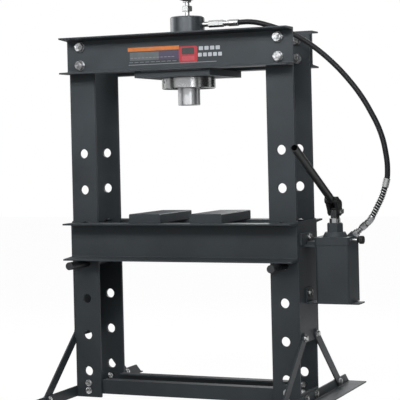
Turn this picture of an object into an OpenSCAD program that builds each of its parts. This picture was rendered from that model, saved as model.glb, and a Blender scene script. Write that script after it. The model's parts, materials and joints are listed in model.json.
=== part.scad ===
// Floor-standing H-frame workshop press, worked by a hand pump through a hose.
// Millimetres, +Z up. X runs across the press, with the pump on +X, and -Y is its front.
// The origin is on the floor, on the ram's axis.

/* [Uprights] */
// Distance between the two posts' centre lines
post_pitch = 810; // [680:5:980]
// Width of each upright flat bar
bar_w = 106; // [90:1:128]
// Thickness of each upright flat bar
bar_t = 12; // [9:0.5:15]
// Depth of a post over its front and rear bars
post_depth = 210; // [190:5:255]
// Height of the uprights
post_h = 1374; // [1300:2:1650]

/* [Pin holes] */
// Diameter of the holes for the bed pins
hole_d = 36; // [32:1:44]
// Height from one row of holes to the next
hole_pitch = 140; // [116:2:150]
// Height of the lowest row above the floor
hole_first_z = 100; // [92:2:110]
// Number of rows
hole_rows = 7; // [6:1:7]
// Row that carries the bed, counted from 0 at the bottom
bed_row = 3; // [2:1:3]

/* [Channels] */
// Height of the upper beam's channels
beam_h = 139; // [124:1:168]
// Height of the bed's channels
bed_h = 141; // [120:1:174]
// Width of a channel over its flanges
channel_b = 78; // [64:1:94]
// Thickness of a channel's web
web_t = 8; // [6:0.5:10]
// Thickness of a channel's flanges, halfway out
flange_t = 8.5; // [7:0.5:10]
// Length of a channel past each post's outer side
channel_over = 4; // [0:1:20]

/* [Bed] */
// Diameter of the bed pins
pin_d = 30; // [24:1:31]
// Length of the bed pins
pin_len = 490; // [440:5:590]
// Width of an arbor plate, across the press
arbor_w = 128; // [100:2:156]
// Depth of an arbor plate, over both channels
arbor_d = 300; // [250:5:360]
// Thickness of an arbor plate
arbor_t = 35; // [28:1:42]

/* [Ram] */
// Outer diameter of the cylinder
cyl_d = 132; // [124:1:160]
// Bore of the cylinder
cyl_bore = 108; // [100:1:112]
// Height of the cylinder above the upper beam
cyl_above = 69; // [56:1:90]
// Diameter of the ram
ram_d = 85; // [70:1:90]
// Length of ram below the ring nut with the ram up
ram_out = 63; // [50:1:76]
// Travel of the ram
ram_stroke = 150; // [100:5:160]
// Diameter of the ring nut
ring_d = 206; // [170:2:240]
// Height of the ring nut
ring_h = 42; // [34:1:50]
// Width of the plate that carries the cylinder
plate_w = 308; // [256:2:360]
// Depth of the plate that carries the cylinder
plate_d = 320; // [290:2:380]
// Thickness of the plate that carries the cylinder
plate_t = 25; // [20:1:31]

/* [Gauge] */
// Diameter of the pressure gauge's case
gauge_d = 104; // [86:1:124]
// Depth of the gauge's case
gauge_depth = 38; // [32:1:46]

/* [Pump] */
// Width of the oil tank, across the press
tank_w = 126; // [112:1:150]
// Depth of the oil tank
tank_d = 140; // [116:1:168]
// Height of the oil tank
tank_h = 213; // [177:1:256]
// Height of the tank's underside above the floor
tank_z = 378; // [330:1:400]
// Height of the pump head casting
head_h = 28; // [24:1:34]
// Diameter of the pump's piston
pump_rod_d = 40; // [34:1:42]
// Distance from the lever's fulcrum to the piston's pin
lever_arm = 36; // [36:1:44]
// Outer diameter of the handle pipe
pipe_d = 28; // [24:1:32]
// Length of handle from the lever's boss to the pipe's open end
handle_len = 440; // [360:5:528]
// Angle of the handle above level, in degrees
handle_angle = 26.2; // [22:0.1:31]

/* [Feet and ties] */
// Length of each foot, front to back
foot_len = 980; // [820:10:1180]
// Height of a foot's upright leg
foot_h = 40; // [34:1:48]
// Width of a foot's flat leg
foot_w = 72; // [60:1:87]
// Thickness of the feet, cleats and tie plates
angle_t = 5; // [4:0.5:6]
// Height of the crossbars
crossbar_h = 53; // [48:1:60]
// Clear height under the crossbars
crossbar_z = 13; // [6:1:16]
// Width of the diagonal braces
brace_w = 36; // [28:1:42]
// Thickness of the diagonal braces
brace_t = 6; // [5:0.5:8]

/* [Hose] */
// Outer diameter of the pressure hose
hose_d = 20; // [16:1:21]

/* [Hidden] */
$fn = 48;

// Clearances
slide_gap = 1;      // between the bed's channels and the posts
run_gap = 0.3;      // between round pieces that slide in each other
bolt_gap = 0.5;     // radial, round a bolt's shank

// Uprights
x_post = post_pitch / 2;
x_out = x_post + bar_w / 2;
x_in = x_post - bar_w / 2;
y_post = post_depth / 2;
y_bar_in = y_post - bar_t;
edge_r = 2;

// Beam and bed channels
channel_len = 2 * (x_out + channel_over);
root_r = 4;
flange_slope = 0.07;
flange_root = flange_t + flange_slope * (channel_b - web_t) / 2;
beam_top = post_h + 11;
beam_bot = beam_top - beam_h;
bed_pin_z = hole_first_z + bed_row * hole_pitch - (hole_d - pin_d) / 2 + run_gap;
bed_bot = bed_pin_z + pin_d / 2 + run_gap;
bed_top = bed_bot + bed_h;
bed_web_y = y_post + slide_gap;
spacer_t = 8;
spacer_x = x_in - 24;
spacer_inset = 14;
arbor_gap = 121;    // between the two arbor plates
arbor_shift = -6;   // of the pair, across the press
arbor_bevel = 2.5;

// Large bolts through the beam, and the smaller ones
big_d = 20;
big_af = 32;
big_head = 13;
big_nut = 16;
big_washer_d = 38;
big_washer_t = 4;
beam_bolt_z = min(38, beam_h / 2 - flange_root - root_r - big_washer_d / 2 - 0.3);
small_d = 12;
small_af = 19;
small_head = 8;
small_nut = 10;
small_washer_d = 26;
small_washer_t = 2.5;
thread_out = 5;     // length of thread past a nut

// Ram and cylinder
plate_bot = beam_bot - plate_t;
ring_bot = plate_bot - ring_h;
ring_lip = 6;
ring_bevel = 3;
cyl_bot = ring_bot + ring_lip;
cyl_top = beam_top + cyl_above;
cyl_bevel = 4;
cap_t = 19;
bore_top = cyl_top - cap_t;
port_z = bore_top - 13;
port_d = 12;
stem_d = 20;
stem_seat = 8;      // depth of the fitting's seat in the cylinder wall
gland_h = 30;
wiper_t = 4;        // radial thickness of the wiper ring
ram_nose = ring_bot - ram_out;
piston_top = bore_top - 22;
piston_t = 25;
seal_h = 7;
seal_t = 4;
ram_bevel = 2;
spring_bore = 46;
spring_r = 16;
wire_r = 2.5;
spring_turns = 18;
plug_h = 24;
plug_r = spring_r * cos(15) - wire_r - run_gap;
ram_floor = ram_nose + 24;
screw_angle = 229;  // of the ring nut's set screw, from +X
screw_d = 8;

// Gauge
adapter_af = 36;
adapter_stem = 22;
adapter_hex = 20;
gauge_neck = 18;
gauge_wall = 3;
gauge_z = cyl_top + adapter_stem + adapter_hex + gauge_neck + gauge_d / 2;
gauge_back = 12;    // of the case behind the cylinder's axis
gauge_front = gauge_back - gauge_depth;
dial_y = gauge_back - gauge_wall - 17;
dial_r = gauge_d / 2 - gauge_wall - 0.2;
lens_y = gauge_front + 2;
needle_r = dial_r * 0.78;
needle_rest = 225;  // of the needle, clockwise from straight up

// Hose ends
hose_hex_x = cyl_d / 2 + 23;
hose_hex_af = 24;
end_len = 76;
ferrule_r = hose_d / 2 + 3;
swivel_len = 16;
collar_len = 22;
hose_sides = 10;
// The route of the hose's centre line, from the cylinder's end to the pump's end.
HOSE = [[210, 0, 1422], [250, 0, 1422], [290, 0, 1416], [330, 0, 1404], [370, 0, 1390],
    [410, 0, 1374], [448, 0, 1354], [484, 0, 1331], [518, 0, 1306], [550, 0, 1279],
    [580, 0, 1251], [608, 0, 1222], [634, 0, 1192], [658, 0, 1162], [680, 0, 1131],
    [700, 0, 1099], [718, 0, 1066], [735, 0, 1033], [749, 0, 999], [760, 0, 963],
    [767, 0, 927], [772, 0, 890], [773, 0, 860], [771, 0, 830], [762, 0, 797],
    [750, 0, 762], [732, 0, 726], [714, 0, 693], [702, 0, 675],
    [689, 0, 664]];
guard_from = 24;    // first route point inside the spring guard
guard_gap = 0.4;
guard_t = 2.2;
guard_ring = 32;    // length of the ring at the guard's top
ring_seat = 1.1;    // from the guard's bent end to the ring, on the hose's line
outlet = [644, 0, 625];
outlet_r = 12;

// Pump
tank_x = x_out + angle_t + 51;
tank_mid = tank_x + tank_w / 2;
tank_wall = 3;
tank_r = 12;
head_over = 3;
head_z = tank_z + tank_h;
head_top = head_z + head_h;
head_r = 14;
rod_x = tank_mid + 3;
rod_y = -30;
boss_h = 18;
boss_r = 46;
boss_top_r = 37;
gland_af = 52;
gland_nut_h = 33;
gland_top = head_top + boss_h + gland_nut_h;
barrel_h = 120;
barrel_wall = 7;
tongue_t = 22;
pin_z = gland_top + 40;
lever_pin_d = 12;
lever_pin_z = pin_z;
fulcrum_y = rod_y + lever_arm;
cheek_gap = 1;
cheek_t = 10;
cheek_rear_t = 5;   // of a cheek behind the piston, at the fulcrum
cheek_r = 15;
eye_r = 14;
slot_out = 3.5;     // room for the piston's pin as the lever swings
slot_gap = 0.7;
socket_y = -64;
socket_z = pin_z + 44.4;
socket_r = 12;      // of the boss that the pipe's spigot stands on
spigot_len = 72;
pipe_wall = 3;
crown_y = -24;
crown_z = pin_z + 25;
crown_r = 16;
ear_t = 5;
link_t = 8;
link_r = 9;
link_gap = 0.5;
link_pin_z = head_top + boss_h + link_r + 1;
valve_y = -28;
valve_z = head_z + head_h * 0.6;
valve_d = 10;
valve_len = 26;
knob_r = 15;
knob_len = 24;
knob_flutes = 8;
lug_h = 10;
lug_y = 36;
shelf_t = 8;
bracket_h = 42;
bracket_y = 88;
bracket_bolt_z = head_z + 26;
tank_leg_h = 56;
tank_bolt_z = tank_z + 32;
tank_leg_y = 36;

// Feet, crossbars and braces
tie_bot = hole_first_z + hole_pitch - 10;
tie_top = head_z + 86;
cleat_h = 48;
cleat_t = 8;
foot_bolt_y = 56;
foot_bolt_z = 26;
foot_mitre = 45;
foot_end = 15;      // of the flat leg past the upright leg
bar_leg = 40;
crossbar_x = x_out - 8;
crossbar_bolts = [crossbar_z + 12, crossbar_z + crossbar_h - 12];
brace_top_y = 68;
brace_top_z = tie_bot + 20;
brace_foot_y = foot_len / 2 - 160;
brace_foot_z = angle_t + 5 + brace_w / 2;

PAINT = "#3a4148";
STEEL = "#c3c7ca";
ZINC = "#b4b7b4";
BLACK = "#1b1c1e";

function lerp(a, b, t) = a + (b - a) * t;
function unit(v) = v / norm(v);

// ---- Shared shapes ----

// A rectangle with round corners, centred
module rounded_rect(w, d, r) {
    square([w - 2 * r, d], center = true);
    square([w, d - 2 * r], center = true);
    for (x = [-1, 1], y = [-1, 1])
        translate([x * (w / 2 - r), y * (d / 2 - r)]) circle(r);
}

// Two discs joined by their tangents
module link_2d(p, q, rp, rq) {
    d = norm(q - p);
    a = atan2(q[1] - p[1], q[0] - p[0]);
    b = acos((rp - rq) / d);
    translate(p) circle(rp);
    translate(q) circle(rq);
    polygon([p + rp * [cos(a + b), sin(a + b)], p + rp * [cos(a - b), sin(a - b)],
        q + rq * [cos(a - b), sin(a - b)], q + rq * [cos(a + b), sin(a + b)]]);
}

// Extrudes a section drawn in (Y, Z) along X, from x0 to x1
module along_x(x0, x1) {
    translate([x0, 0, 0]) rotate([90, 0, 90]) linear_extrude(x1 - x0) children();
}

// A round bar or hole along Y
module y_rod(d, y0, y1) {
    translate([0, y0, 0]) rotate([-90, 0, 0]) cylinder(d = d, h = y1 - y0);
}

// A round bar or hole along X
module x_rod(d, x0, x1) {
    translate([x0, 0, 0]) rotate([0, 90, 0]) cylinder(d = d, h = x1 - x0);
}

// A hexagon with its two ends bevelled as a bolt head is
module hexagon(af, h) {
    intersection() {
        cylinder(d = af / cos(30), h = h, $fn = 6);
        cylinder(r1 = af / 2 + h - 0.6, r2 = af / 2 - 0.6, h = h);
    }
}

// A bolt seated at z = 0, head below, with the grip and the nut's height above
module bolt(d, af, head_h, grip, nut_h) {
    mirror([0, 0, 1]) hexagon(af, head_h);
    cylinder(d = d, h = grip + nut_h + thread_out - 1);
    translate([0, 0, grip + nut_h + thread_out - 1]) cylinder(d1 = d, d2 = d - 2, h = 1);
}

module nut(d, af, h) {
    difference() {
        hexagon(af, h);
        translate([0, 0, -1]) cylinder(d = d + 0.2, h = h + 2);
    }
}

module washer(d, hole, t) {
    difference() {
        cylinder(d = d, h = t);
        translate([0, 0, -1]) cylinder(d = hole, h = t + 2);
    }
}

// Runs its children at each beam bolt, turned so that +Z points from outside to inside
module at_beam_bolts(y) {
    for (sx = [-1, 1], sy = [-1, 1], sz = [-1, 1])
        translate([sx * x_post, sy * y, (beam_top + beam_bot) / 2 + sz * beam_bolt_z])
            rotate([-sy * 90, 0, 0]) children();
}

// A hollow tube swept along route points, as one closed shell
function ring_at(path, i, r, n) =
    let (last = len(path) - 1,
        t = unit(path[min(i + 1, last)] - path[max(i - 1, 0)]),
        side = unit(cross(t, [0, 1, 0])),
        up = cross(side, t))
    [for (k = [0:n - 1]) path[i] + r * (cos(360 * k / n) * side - sin(360 * k / n) * up)];

module sweep(path, r, n) {
    rings = [for (i = [0:len(path) - 1]) each ring_at(path, i, r, n)];
    last = (len(path) - 1) * n;
    polyhedron(rings, concat(
        [[for (k = [0:n - 1]) k]],
        [for (i = [0:len(path) - 2], k = [0:n - 1])
            [i * n + k, (i + 1) * n + k, (i + 1) * n + (k + 1) % n, i * n + (k + 1) % n]],
        [[for (k = [0:n - 1]) last + n - 1 - k]]), convexity = 6);
}

// ---- Uprights ----

// A bar is drawn at the post's centre line, with its outer face towards -Y
module upright_bar() {
    difference() {
        translate([0, -y_post + bar_t / 2, 0])
            linear_extrude(post_h) rounded_rect(bar_w, bar_t, edge_r);
        for (i = [0:hole_rows - 1])
            translate([0, 0, hole_first_z + i * hole_pitch])
                y_rod(hole_d, -y_post - 1, -y_bar_in + 1);
        for (s = [-1, 1])
            translate([0, 0, (beam_top + beam_bot) / 2 + s * beam_bolt_z])
                y_rod(big_d + 2 * bolt_gap, -y_post - 1, -y_bar_in + 1);
        for (z = crossbar_bolts)
            translate([0, 0, z]) y_rod(small_d + 2 * bolt_gap, -y_post - 1, -y_bar_in + 1);
    }
}

module placed_bar(side, rear) {
    translate([side * x_post, 0, 0]) mirror([0, rear, 0]) upright_bar();
}

module left_front_bar() { color(PAINT) placed_bar(-1, 0); }
module left_rear_bar() { color(PAINT) placed_bar(-1, 1); }
module right_front_bar() { color(PAINT) placed_bar(1, 0); }
module right_rear_bar() { color(PAINT) placed_bar(1, 1); }

// The plate that closes a post's outer side between its two bars, drawn for the right post
module tie_plate(pump_side) {
    difference() {
        translate([x_out, 0, 0])
            rotate([90, 0, 90]) linear_extrude(angle_t)
                translate([0, (tie_bot + tie_top) / 2])
                    rounded_rect(post_depth, tie_top - tie_bot, edge_r);
        for (s = [-1, 1])
            translate([0, s * brace_top_y, brace_top_z])
                x_rod(small_d + 2 * bolt_gap, x_out - 1, x_out + angle_t + 1);
        if (pump_side)
            for (z = [bracket_bolt_z, tank_bolt_z])
                translate([0, 0, z])
                    x_rod(small_d + 2 * bolt_gap, x_out - 1, x_out + angle_t + 1);
    }
}

module left_tie_plate() { color(PAINT) mirror([1, 0, 0]) tie_plate(false); }
module right_tie_plate() { color(PAINT) tie_plate(true); }

// The cleat welded between the bars at the floor, which the foot bolts to
module base_cleat() {
    difference() {
        translate([x_out - cleat_t, -y_bar_in, 0]) cube([cleat_t, 2 * y_bar_in, cleat_h]);
        for (s = [-1, 1])
            translate([0, s * foot_bolt_y, foot_bolt_z])
                x_rod(small_d + 2 * bolt_gap, x_out - cleat_t - 1, x_out + 1);
    }
}

module base_cleats() {
    color(PAINT) for (m = [0, 1])
        mirror([m, 0, 0]) base_cleat();
}

// ---- Channels ----

// A rolled channel's section: its web's back on x = 0, flanges towards +x, from y = 0 to h
// Its flanges thin out towards their tips, with a fillet at the root and a round at the tip
module channel_section(h) {
    tip_r = 3;
    m = flange_slope;
    q = sqrt(1 + m * m);
    inner = function (x) flange_root - m * (x - web_t);
    tip = [channel_b - tip_r, inner(channel_b - tip_r) - tip_r * q];
    tip_t = tip + tip_r / q * [m, 1];
    root = [web_t + root_r, inner(web_t + root_r) + root_r * q];
    root_t = root - root_r / q * [m, 1];
    out = channel_b + 1;
    difference() {
        square([channel_b, h]);
        polygon([[web_t, inner(web_t)], [out, inner(out)], [out, h - inner(out)],
            [web_t, h - inner(web_t)]]);
        for (s = [0, 1])
            translate([0, s * h]) mirror([0, s]) difference() {
                polygon([tip, tip_t, [out, inner(out)], [out, tip[1]]]);
                translate(tip) circle(tip_r);
            }
    }
    for (s = [0, 1])
        translate([0, s * h]) mirror([0, s]) difference() {
            polygon([[web_t, inner(web_t)], root_t, root, [web_t, root[1]]]);
            translate(root) circle(root_r);
        }
}

// A channel across the press, its web's back at distance y, on the front or the rear
module channel_across(rear, y, z, h) {
    mirror([0, 1 - rear, 0])
        translate([0, y, z]) along_x(-channel_len / 2, channel_len / 2) channel_section(h);
}

module beam_channel(rear) {
    difference() {
        channel_across(rear, y_post, beam_bot, beam_h);
        for (sx = [-1, 1], sz = [-1, 1])
            translate([sx * x_post, 0, (beam_top + beam_bot) / 2 + sz * beam_bolt_z])
                mirror([0, 1 - rear, 0])
                    y_rod(big_d + 2 * bolt_gap, y_post - 1, y_post + web_t + 1);
    }
}

module front_beam() { color(PAINT) beam_channel(0); }
module rear_beam() { color(PAINT) beam_channel(1); }

module beam_bolts() {
    color(ZINC) at_beam_bolts(-y_post - web_t - big_washer_t)
        bolt(big_d, big_af, big_head, web_t + bar_t + 2 * big_washer_t, big_nut);
}

module beam_washers() {
    color(ZINC) {
        at_beam_bolts(-y_post - web_t - big_washer_t)
            washer(big_washer_d, big_d + 2 * bolt_gap, big_washer_t);
        at_beam_bolts(-y_bar_in) washer(big_washer_d, big_d + 2 * bolt_gap, big_washer_t);
    }
}

module beam_nuts() {
    color(ZINC) at_beam_bolts(-y_bar_in + big_washer_t) nut(big_d, big_af, big_nut);
}

module bed_front_channel() { color(PAINT) channel_across(0, bed_web_y, bed_bot, bed_h); }
module bed_rear_channel() { color(PAINT) channel_across(1, bed_web_y, bed_bot, bed_h); }

// Plates welded between the bed's webs just inside the posts
module bed_spacers() {
    color(PAINT) for (s = [-1, 1])
        translate([s * spacer_x - spacer_t / 2, -bed_web_y, bed_bot + spacer_inset])
            cube([spacer_t, 2 * bed_web_y, bed_h - 2 * spacer_inset]);
}

module bed_pin() {
    bevel = 2;
    rotate([-90, 0, 0]) rotate_extrude()
        polygon([[0, -pin_len / 2], [pin_d / 2 - bevel, -pin_len / 2],
            [pin_d / 2, -pin_len / 2 + bevel], [pin_d / 2, pin_len / 2 - bevel],
            [pin_d / 2 - bevel, pin_len / 2], [0, pin_len / 2]]);
}

module left_bed_pin() { color("#6f7476") translate([-x_post, 0, bed_pin_z]) bed_pin(); }
module right_bed_pin() { color("#6f7476") translate([x_post, 0, bed_pin_z]) bed_pin(); }

// A loose block that lies across both channels, its long edges bevelled
module arbor_plate() {
    b = arbor_bevel;
    w = arbor_w / 2;
    rotate([90, 0, 0]) linear_extrude(arbor_d, center = true)
        polygon([[-w + b, 0], [w - b, 0], [w, b], [w, arbor_t - b], [w - b, arbor_t],
            [-w + b, arbor_t], [-w, arbor_t - b], [-w, b]]);
}

module placed_arbor(side) {
    translate([arbor_shift + side * (arbor_gap + arbor_w) / 2, 0, bed_top]) arbor_plate();
}

module left_arbor_plate() { color(PAINT) placed_arbor(-1); }
module right_arbor_plate() { color(PAINT) placed_arbor(1); }

// ---- Cylinder and ram ----

module cylinder_plate() {
    color(PAINT) difference() {
        translate([0, 0, plate_bot]) linear_extrude(plate_t) rounded_rect(plate_w, plate_d, 3);
        translate([0, 0, plate_bot - 1]) cylinder(d = cyl_d + 2 * run_gap, h = plate_t + 2);
    }
}

module cylinder_body() {
    difference() {
        rotate_extrude() polygon([[0, bore_top], [cyl_bore / 2, bore_top], [cyl_bore / 2, cyl_bot],
            [cyl_d / 2, cyl_bot], [cyl_d / 2, cyl_top - cyl_bevel],
            [cyl_d / 2 - cyl_bevel, cyl_top], [0, cyl_top]]);
        translate([0, 0, port_z]) {
            x_rod(port_d, 0, cyl_d);
            x_rod(stem_d, cyl_d / 2 - stem_seat, cyl_d);
        }
        translate([0, 0, bore_top - 1]) cylinder(d = port_d / 2, h = cap_t + 2);
        translate([0, 0, cyl_top - stem_seat]) cylinder(d = stem_d, h = stem_seat + 1);
    }
}

module cylinder_node() { color("#8b9296") cylinder_body(); }

// The bright ring nut that holds the cylinder up against the plate
module ring_nut() {
    color(STEEL) difference() {
        rotate_extrude() polygon([[ram_d / 2 + wiper_t + run_gap, ring_bot],
            [ring_d / 2 - ring_bevel, ring_bot], [ring_d / 2, ring_bot + ring_bevel],
            [ring_d / 2, plate_bot - ring_bevel / 2], [ring_d / 2 - ring_bevel / 2, plate_bot],
            [cyl_d / 2 + 0.1, plate_bot], [cyl_d / 2 + 0.1, cyl_bot],
            [ram_d / 2 + wiper_t + run_gap, cyl_bot]]);
        translate([0, 0, (ring_bot + plate_bot) / 2 + 4]) rotate([0, 0, screw_angle])
            x_rod(screw_d, cyl_d / 2 - 2, ring_d);
    }
}

module ring_set_screw() {
    color(ZINC) translate([0, 0, (ring_bot + plate_bot) / 2 + 4]) rotate([0, 0, screw_angle])
        difference() {
            x_rod(screw_d - 0.2, cyl_d / 2 + 0.4, ring_d / 2 - 6);
            translate([ring_d / 2 - 10, 0, 0]) rotate([0, 90, 0])
                cylinder(d = 4.6, h = 12, $fn = 6);
        }
}

module gland_bush() {
    color("#b08d4f") translate([0, 0, cyl_bot]) difference() {
        cylinder(d = cyl_bore - 0.2, h = gland_h);
        translate([0, 0, -1]) cylinder(d = ram_d + 2 * run_gap, h = gland_h + 2);
    }
}

module wiper_ring() {
    color(BLACK) translate([0, 0, ring_bot + 0.5]) difference() {
        cylinder(r = ram_d / 2 + wiper_t, h = ring_lip - 0.5);
        translate([0, 0, -1]) cylinder(d = ram_d + 2 * run_gap, h = ring_lip + 2);
    }
}

// The ram and its piston are turned from one bar and bored for the return spring
module ram() {
    rp = cyl_bore / 2 - run_gap;
    seal_z = piston_top - (piston_t + seal_h) / 2;
    color(STEEL) rotate_extrude() polygon([[0, ram_nose], [ram_d / 2 - ram_bevel, ram_nose],
        [ram_d / 2, ram_nose + ram_bevel], [ram_d / 2, piston_top - piston_t],
        [rp, piston_top - piston_t], [rp, seal_z], [rp - seal_t, seal_z],
        [rp - seal_t, seal_z + seal_h], [rp, seal_z + seal_h], [rp, piston_top],
        [spring_bore / 2, piston_top], [spring_bore / 2, ram_floor], [0, ram_floor]]);
}

module piston_seal() {
    ro = cyl_bore / 2 - run_gap;
    color(BLACK) translate([0, 0, piston_top - (piston_t + seal_h) / 2 + 0.2]) difference() {
        cylinder(r = ro, h = seal_h - 0.4);
        translate([0, 0, -1]) cylinder(r = ro - seal_t + 0.1, h = seal_h + 2);
    }
}

// The plugs that the return spring's ends are wound on: in the cap, and in the ram's floor
module cap_spring_plug() {
    color(ZINC) difference() {
        translate([0, 0, bore_top - plug_h]) cylinder(r = plug_r, h = plug_h);
        translate([0, 0, bore_top - plug_h - 1]) cylinder(d = port_d / 2, h = plug_h + 2);
    }
}

module ram_spring_plug() {
    color(ZINC) translate([0, 0, ram_floor]) cylinder(r = plug_r, h = plug_h);
}

module return_spring() {
    z0 = ram_floor + wire_r + 1;
    z1 = bore_top - wire_r - 1;
    steps = spring_turns * 12;
    path = [for (i = [0:steps])
        [spring_r * cos(30 * i), spring_r * sin(30 * i), lerp(z0, z1, i / steps)]];
    color(ZINC) coil(path, wire_r, 6);
}

// A wire wound round Z: its section stands across the helix at every point
module coil(path, r, n) {
    rings = [for (p = path)
        let (out = unit([p[0], p[1], 0]))
        for (k = [0:n - 1]) p + r * (cos(360 * k / n) * out - sin(360 * k / n) * [0, 0, 1])];
    last = (len(path) - 1) * n;
    polyhedron(rings, concat(
        [[for (k = [0:n - 1]) k]],
        [for (i = [0:len(path) - 2], k = [0:n - 1])
            [i * n + k, (i + 1) * n + k, (i + 1) * n + (k + 1) % n, i * n + (k + 1) % n]],
        [[for (k = [0:n - 1]) last + n - 1 - k]]), convexity = 10);
}

// ---- Gauge ----

module gauge_adapter() {
    color(ZINC) difference() {
        union() {
            translate([0, 0, cyl_top - stem_seat + 0.2])
                cylinder(d = stem_d - 0.2, h = stem_seat + adapter_stem);
            translate([0, 0, cyl_top + adapter_stem]) hexagon(adapter_af, adapter_hex);
        }
        translate([0, 0, cyl_top - stem_seat]) cylinder(d = 5, h = 80);
        translate([0, 0, cyl_top + adapter_stem + 6]) cylinder(d = 14, h = adapter_hex);
    }
}

// The case is a cup turned about Y, with its square-shouldered socket below
module gauge_case() {
    r = gauge_d / 2;
    color("#2a2d30") translate([0, 0, gauge_z]) {
        rotate([90, 0, 0]) rotate_extrude() polygon([[0, -gauge_back], [r - 3, -gauge_back],
            [r, -gauge_back + 3], [r, -gauge_front - 4], [r - 1.5, -gauge_front],
            [r - 5, -gauge_front], [r - 5, -lens_y + 0.1], [r - gauge_wall, -lens_y + 0.1],
            [r - gauge_wall, -gauge_back + gauge_wall], [0, -gauge_back + gauge_wall]]);
        translate([0, 0, -r - gauge_neck]) cylinder(d = 20, h = gauge_neck + 3);
        translate([0, 0, -r - gauge_neck - 12]) cylinder(d = 13.8, h = 13);
        translate([0, 0, -r - 4]) hexagon(30, 7);
    }
}

module gauge_dial() {
    color("white") translate([0, dial_y, gauge_z]) difference() {
        y_rod(2 * dial_r, 0, 1.2);
        y_rod(6, -1, 3);
    }
    color("white") translate([0, dial_y, gauge_z]) difference() {
        y_rod(14, 1.2, gauge_back - gauge_wall - dial_y);
        y_rod(6, 0, 60);
    }
}

module gauge_needle() {
    color(BLACK) translate([0, dial_y - 3.5, gauge_z]) rotate([0, needle_rest, 0]) {
        y_rod(9, -1, 1.2);
        y_rod(4, 0, 12);
        rotate([90, 0, 0]) translate([0, 0, -1]) linear_extrude(1.2)
            polygon([[-2.2, -needle_r * 0.3], [2.2, -needle_r * 0.3], [1.6, 0],
                [0.4, needle_r], [-0.4, needle_r], [-1.6, 0]]);
    }
}

module gauge_lens() {
    color([0.85, 0.92, 0.95, 0.35]) translate([0, lens_y, gauge_z])
        y_rod(gauge_d - 2 * gauge_wall - 0.6, 0.2, 2.2);
}

// ---- Hose and its ends ----

// Screwed into the cylinder's port: a stem with a hexagon
module hose_adapter() {
    color(ZINC) translate([0, 0, port_z]) difference() {
        union() {
            x_rod(stem_d - 0.4, cyl_d / 2 - stem_seat + 0.2, hose_hex_x);
            translate([hose_hex_x, 0, 0]) rotate([0, 90, 0]) hexagon(hose_hex_af, 45);
        }
        x_rod(6, 0, 400);
    }
}

// A crimped end along +X: swivel nut, two collars and the ferrule that grips the hose
module hose_end(len) {
    rotate([0, 90, 0]) {
        hexagon(hose_hex_af, swivel_len);
        translate([0, 0, swivel_len]) rotate_extrude() polygon([[0, 0], [9, 0], [9, 3],
            [ferrule_r - 1.5, 4], [ferrule_r - 1.5, 9], [9, 10], [9, 13], [ferrule_r - 2, 14],
            [ferrule_r - 2, collar_len - 3], [ferrule_r, collar_len],
            [ferrule_r, len - swivel_len - 2], [ferrule_r - 1.5, len - swivel_len],
            [0, len - swivel_len]]);
    }
}

module hose_ends() {
    last = HOSE[len(HOSE) - 1];
    top = HOSE[guard_from];
    up = HOSE[guard_from - 1] - top;
    x0 = hose_hex_x + 45;
    color(STEEL) {
        translate([x0, 0, port_z]) hose_end(HOSE[0][0] - x0);
        translate(outlet) rotate([0, -outlet_pitch(), 0]) hose_end(norm(last - outlet));
        translate(top) rotate([0, atan2(up[0], up[2]), 0]) translate([0, 0, ring_seat]) difference() {
            cylinder(r = hose_d / 2 + guard_gap + guard_t, h = guard_ring);
            translate([0, 0, -1]) cylinder(r = hose_d / 2 + 0.7, h = guard_ring + 2);
        }
    }
}

function outlet_pitch() =
    let (d = HOSE[len(HOSE) - 1] - outlet) atan2(d[2], d[0]);

module hose() { color(BLACK) sweep(HOSE, hose_d / 2, hose_sides); }

// The wound guard over the hose's last bend
module hose_guard() {
    path = [for (i = [guard_from:len(HOSE) - 1]) HOSE[i]];
    n = len(path);
    inner = [for (i = [0:n - 1]) i == 0 ? path[0] + 2 * unit(path[0] - path[1])
        : i == n - 1 ? path[i] + 2 * unit(path[i] - path[i - 1]) : path[i]];
    r = hose_d / 2 + guard_gap;
    color("#54585c") difference() {
        sweep(path, r + guard_t, hose_sides);
        sweep(inner, r / cos(180 / hose_sides), hose_sides);
    }
}

// ---- Pump ----

// The welded bracket that hangs the pump head on the right post
module pump_bracket() {
    x0 = x_out + angle_t;
    color(PAINT) difference() {
        union() {
            translate([x0, -bracket_y, head_z]) cube([shelf_t, 2 * bracket_y, bracket_h]);
            translate([x0, -lug_y - 20, head_z - shelf_t])
                cube([tank_x - 1 - x0, 2 * (lug_y + 20), shelf_t]);
        }
        translate([0, 0, bracket_bolt_z]) x_rod(small_d + 2 * bolt_gap, x0 - 1, x0 + shelf_t + 1);
    }
}

// The folded strap under the oil tank
module tank_bracket() {
    x0 = x_out + angle_t;
    color(PAINT) difference() {
        union() {
            translate([x0, -tank_leg_y, tank_z - angle_t])
                cube([angle_t, 2 * tank_leg_y, tank_leg_h]);
            translate([x0, -tank_leg_y, tank_z - angle_t])
                cube([tank_x - x0 + tank_w + 26, 2 * tank_leg_y, angle_t]);
        }
        translate([0, 0, tank_bolt_z]) x_rod(small_d + 2 * bolt_gap, x0 - 1, x0 + angle_t + 1);
    }
}

module oil_tank() {
    color(PAINT) translate([tank_mid, 0, tank_z]) difference() {
        linear_extrude(tank_h) rounded_rect(tank_w, tank_d, tank_r);
        translate([0, 0, tank_wall]) linear_extrude(tank_h)
            rounded_rect(tank_w - 2 * tank_wall, tank_d - 2 * tank_wall, tank_r - tank_wall);
    }
}

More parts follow.
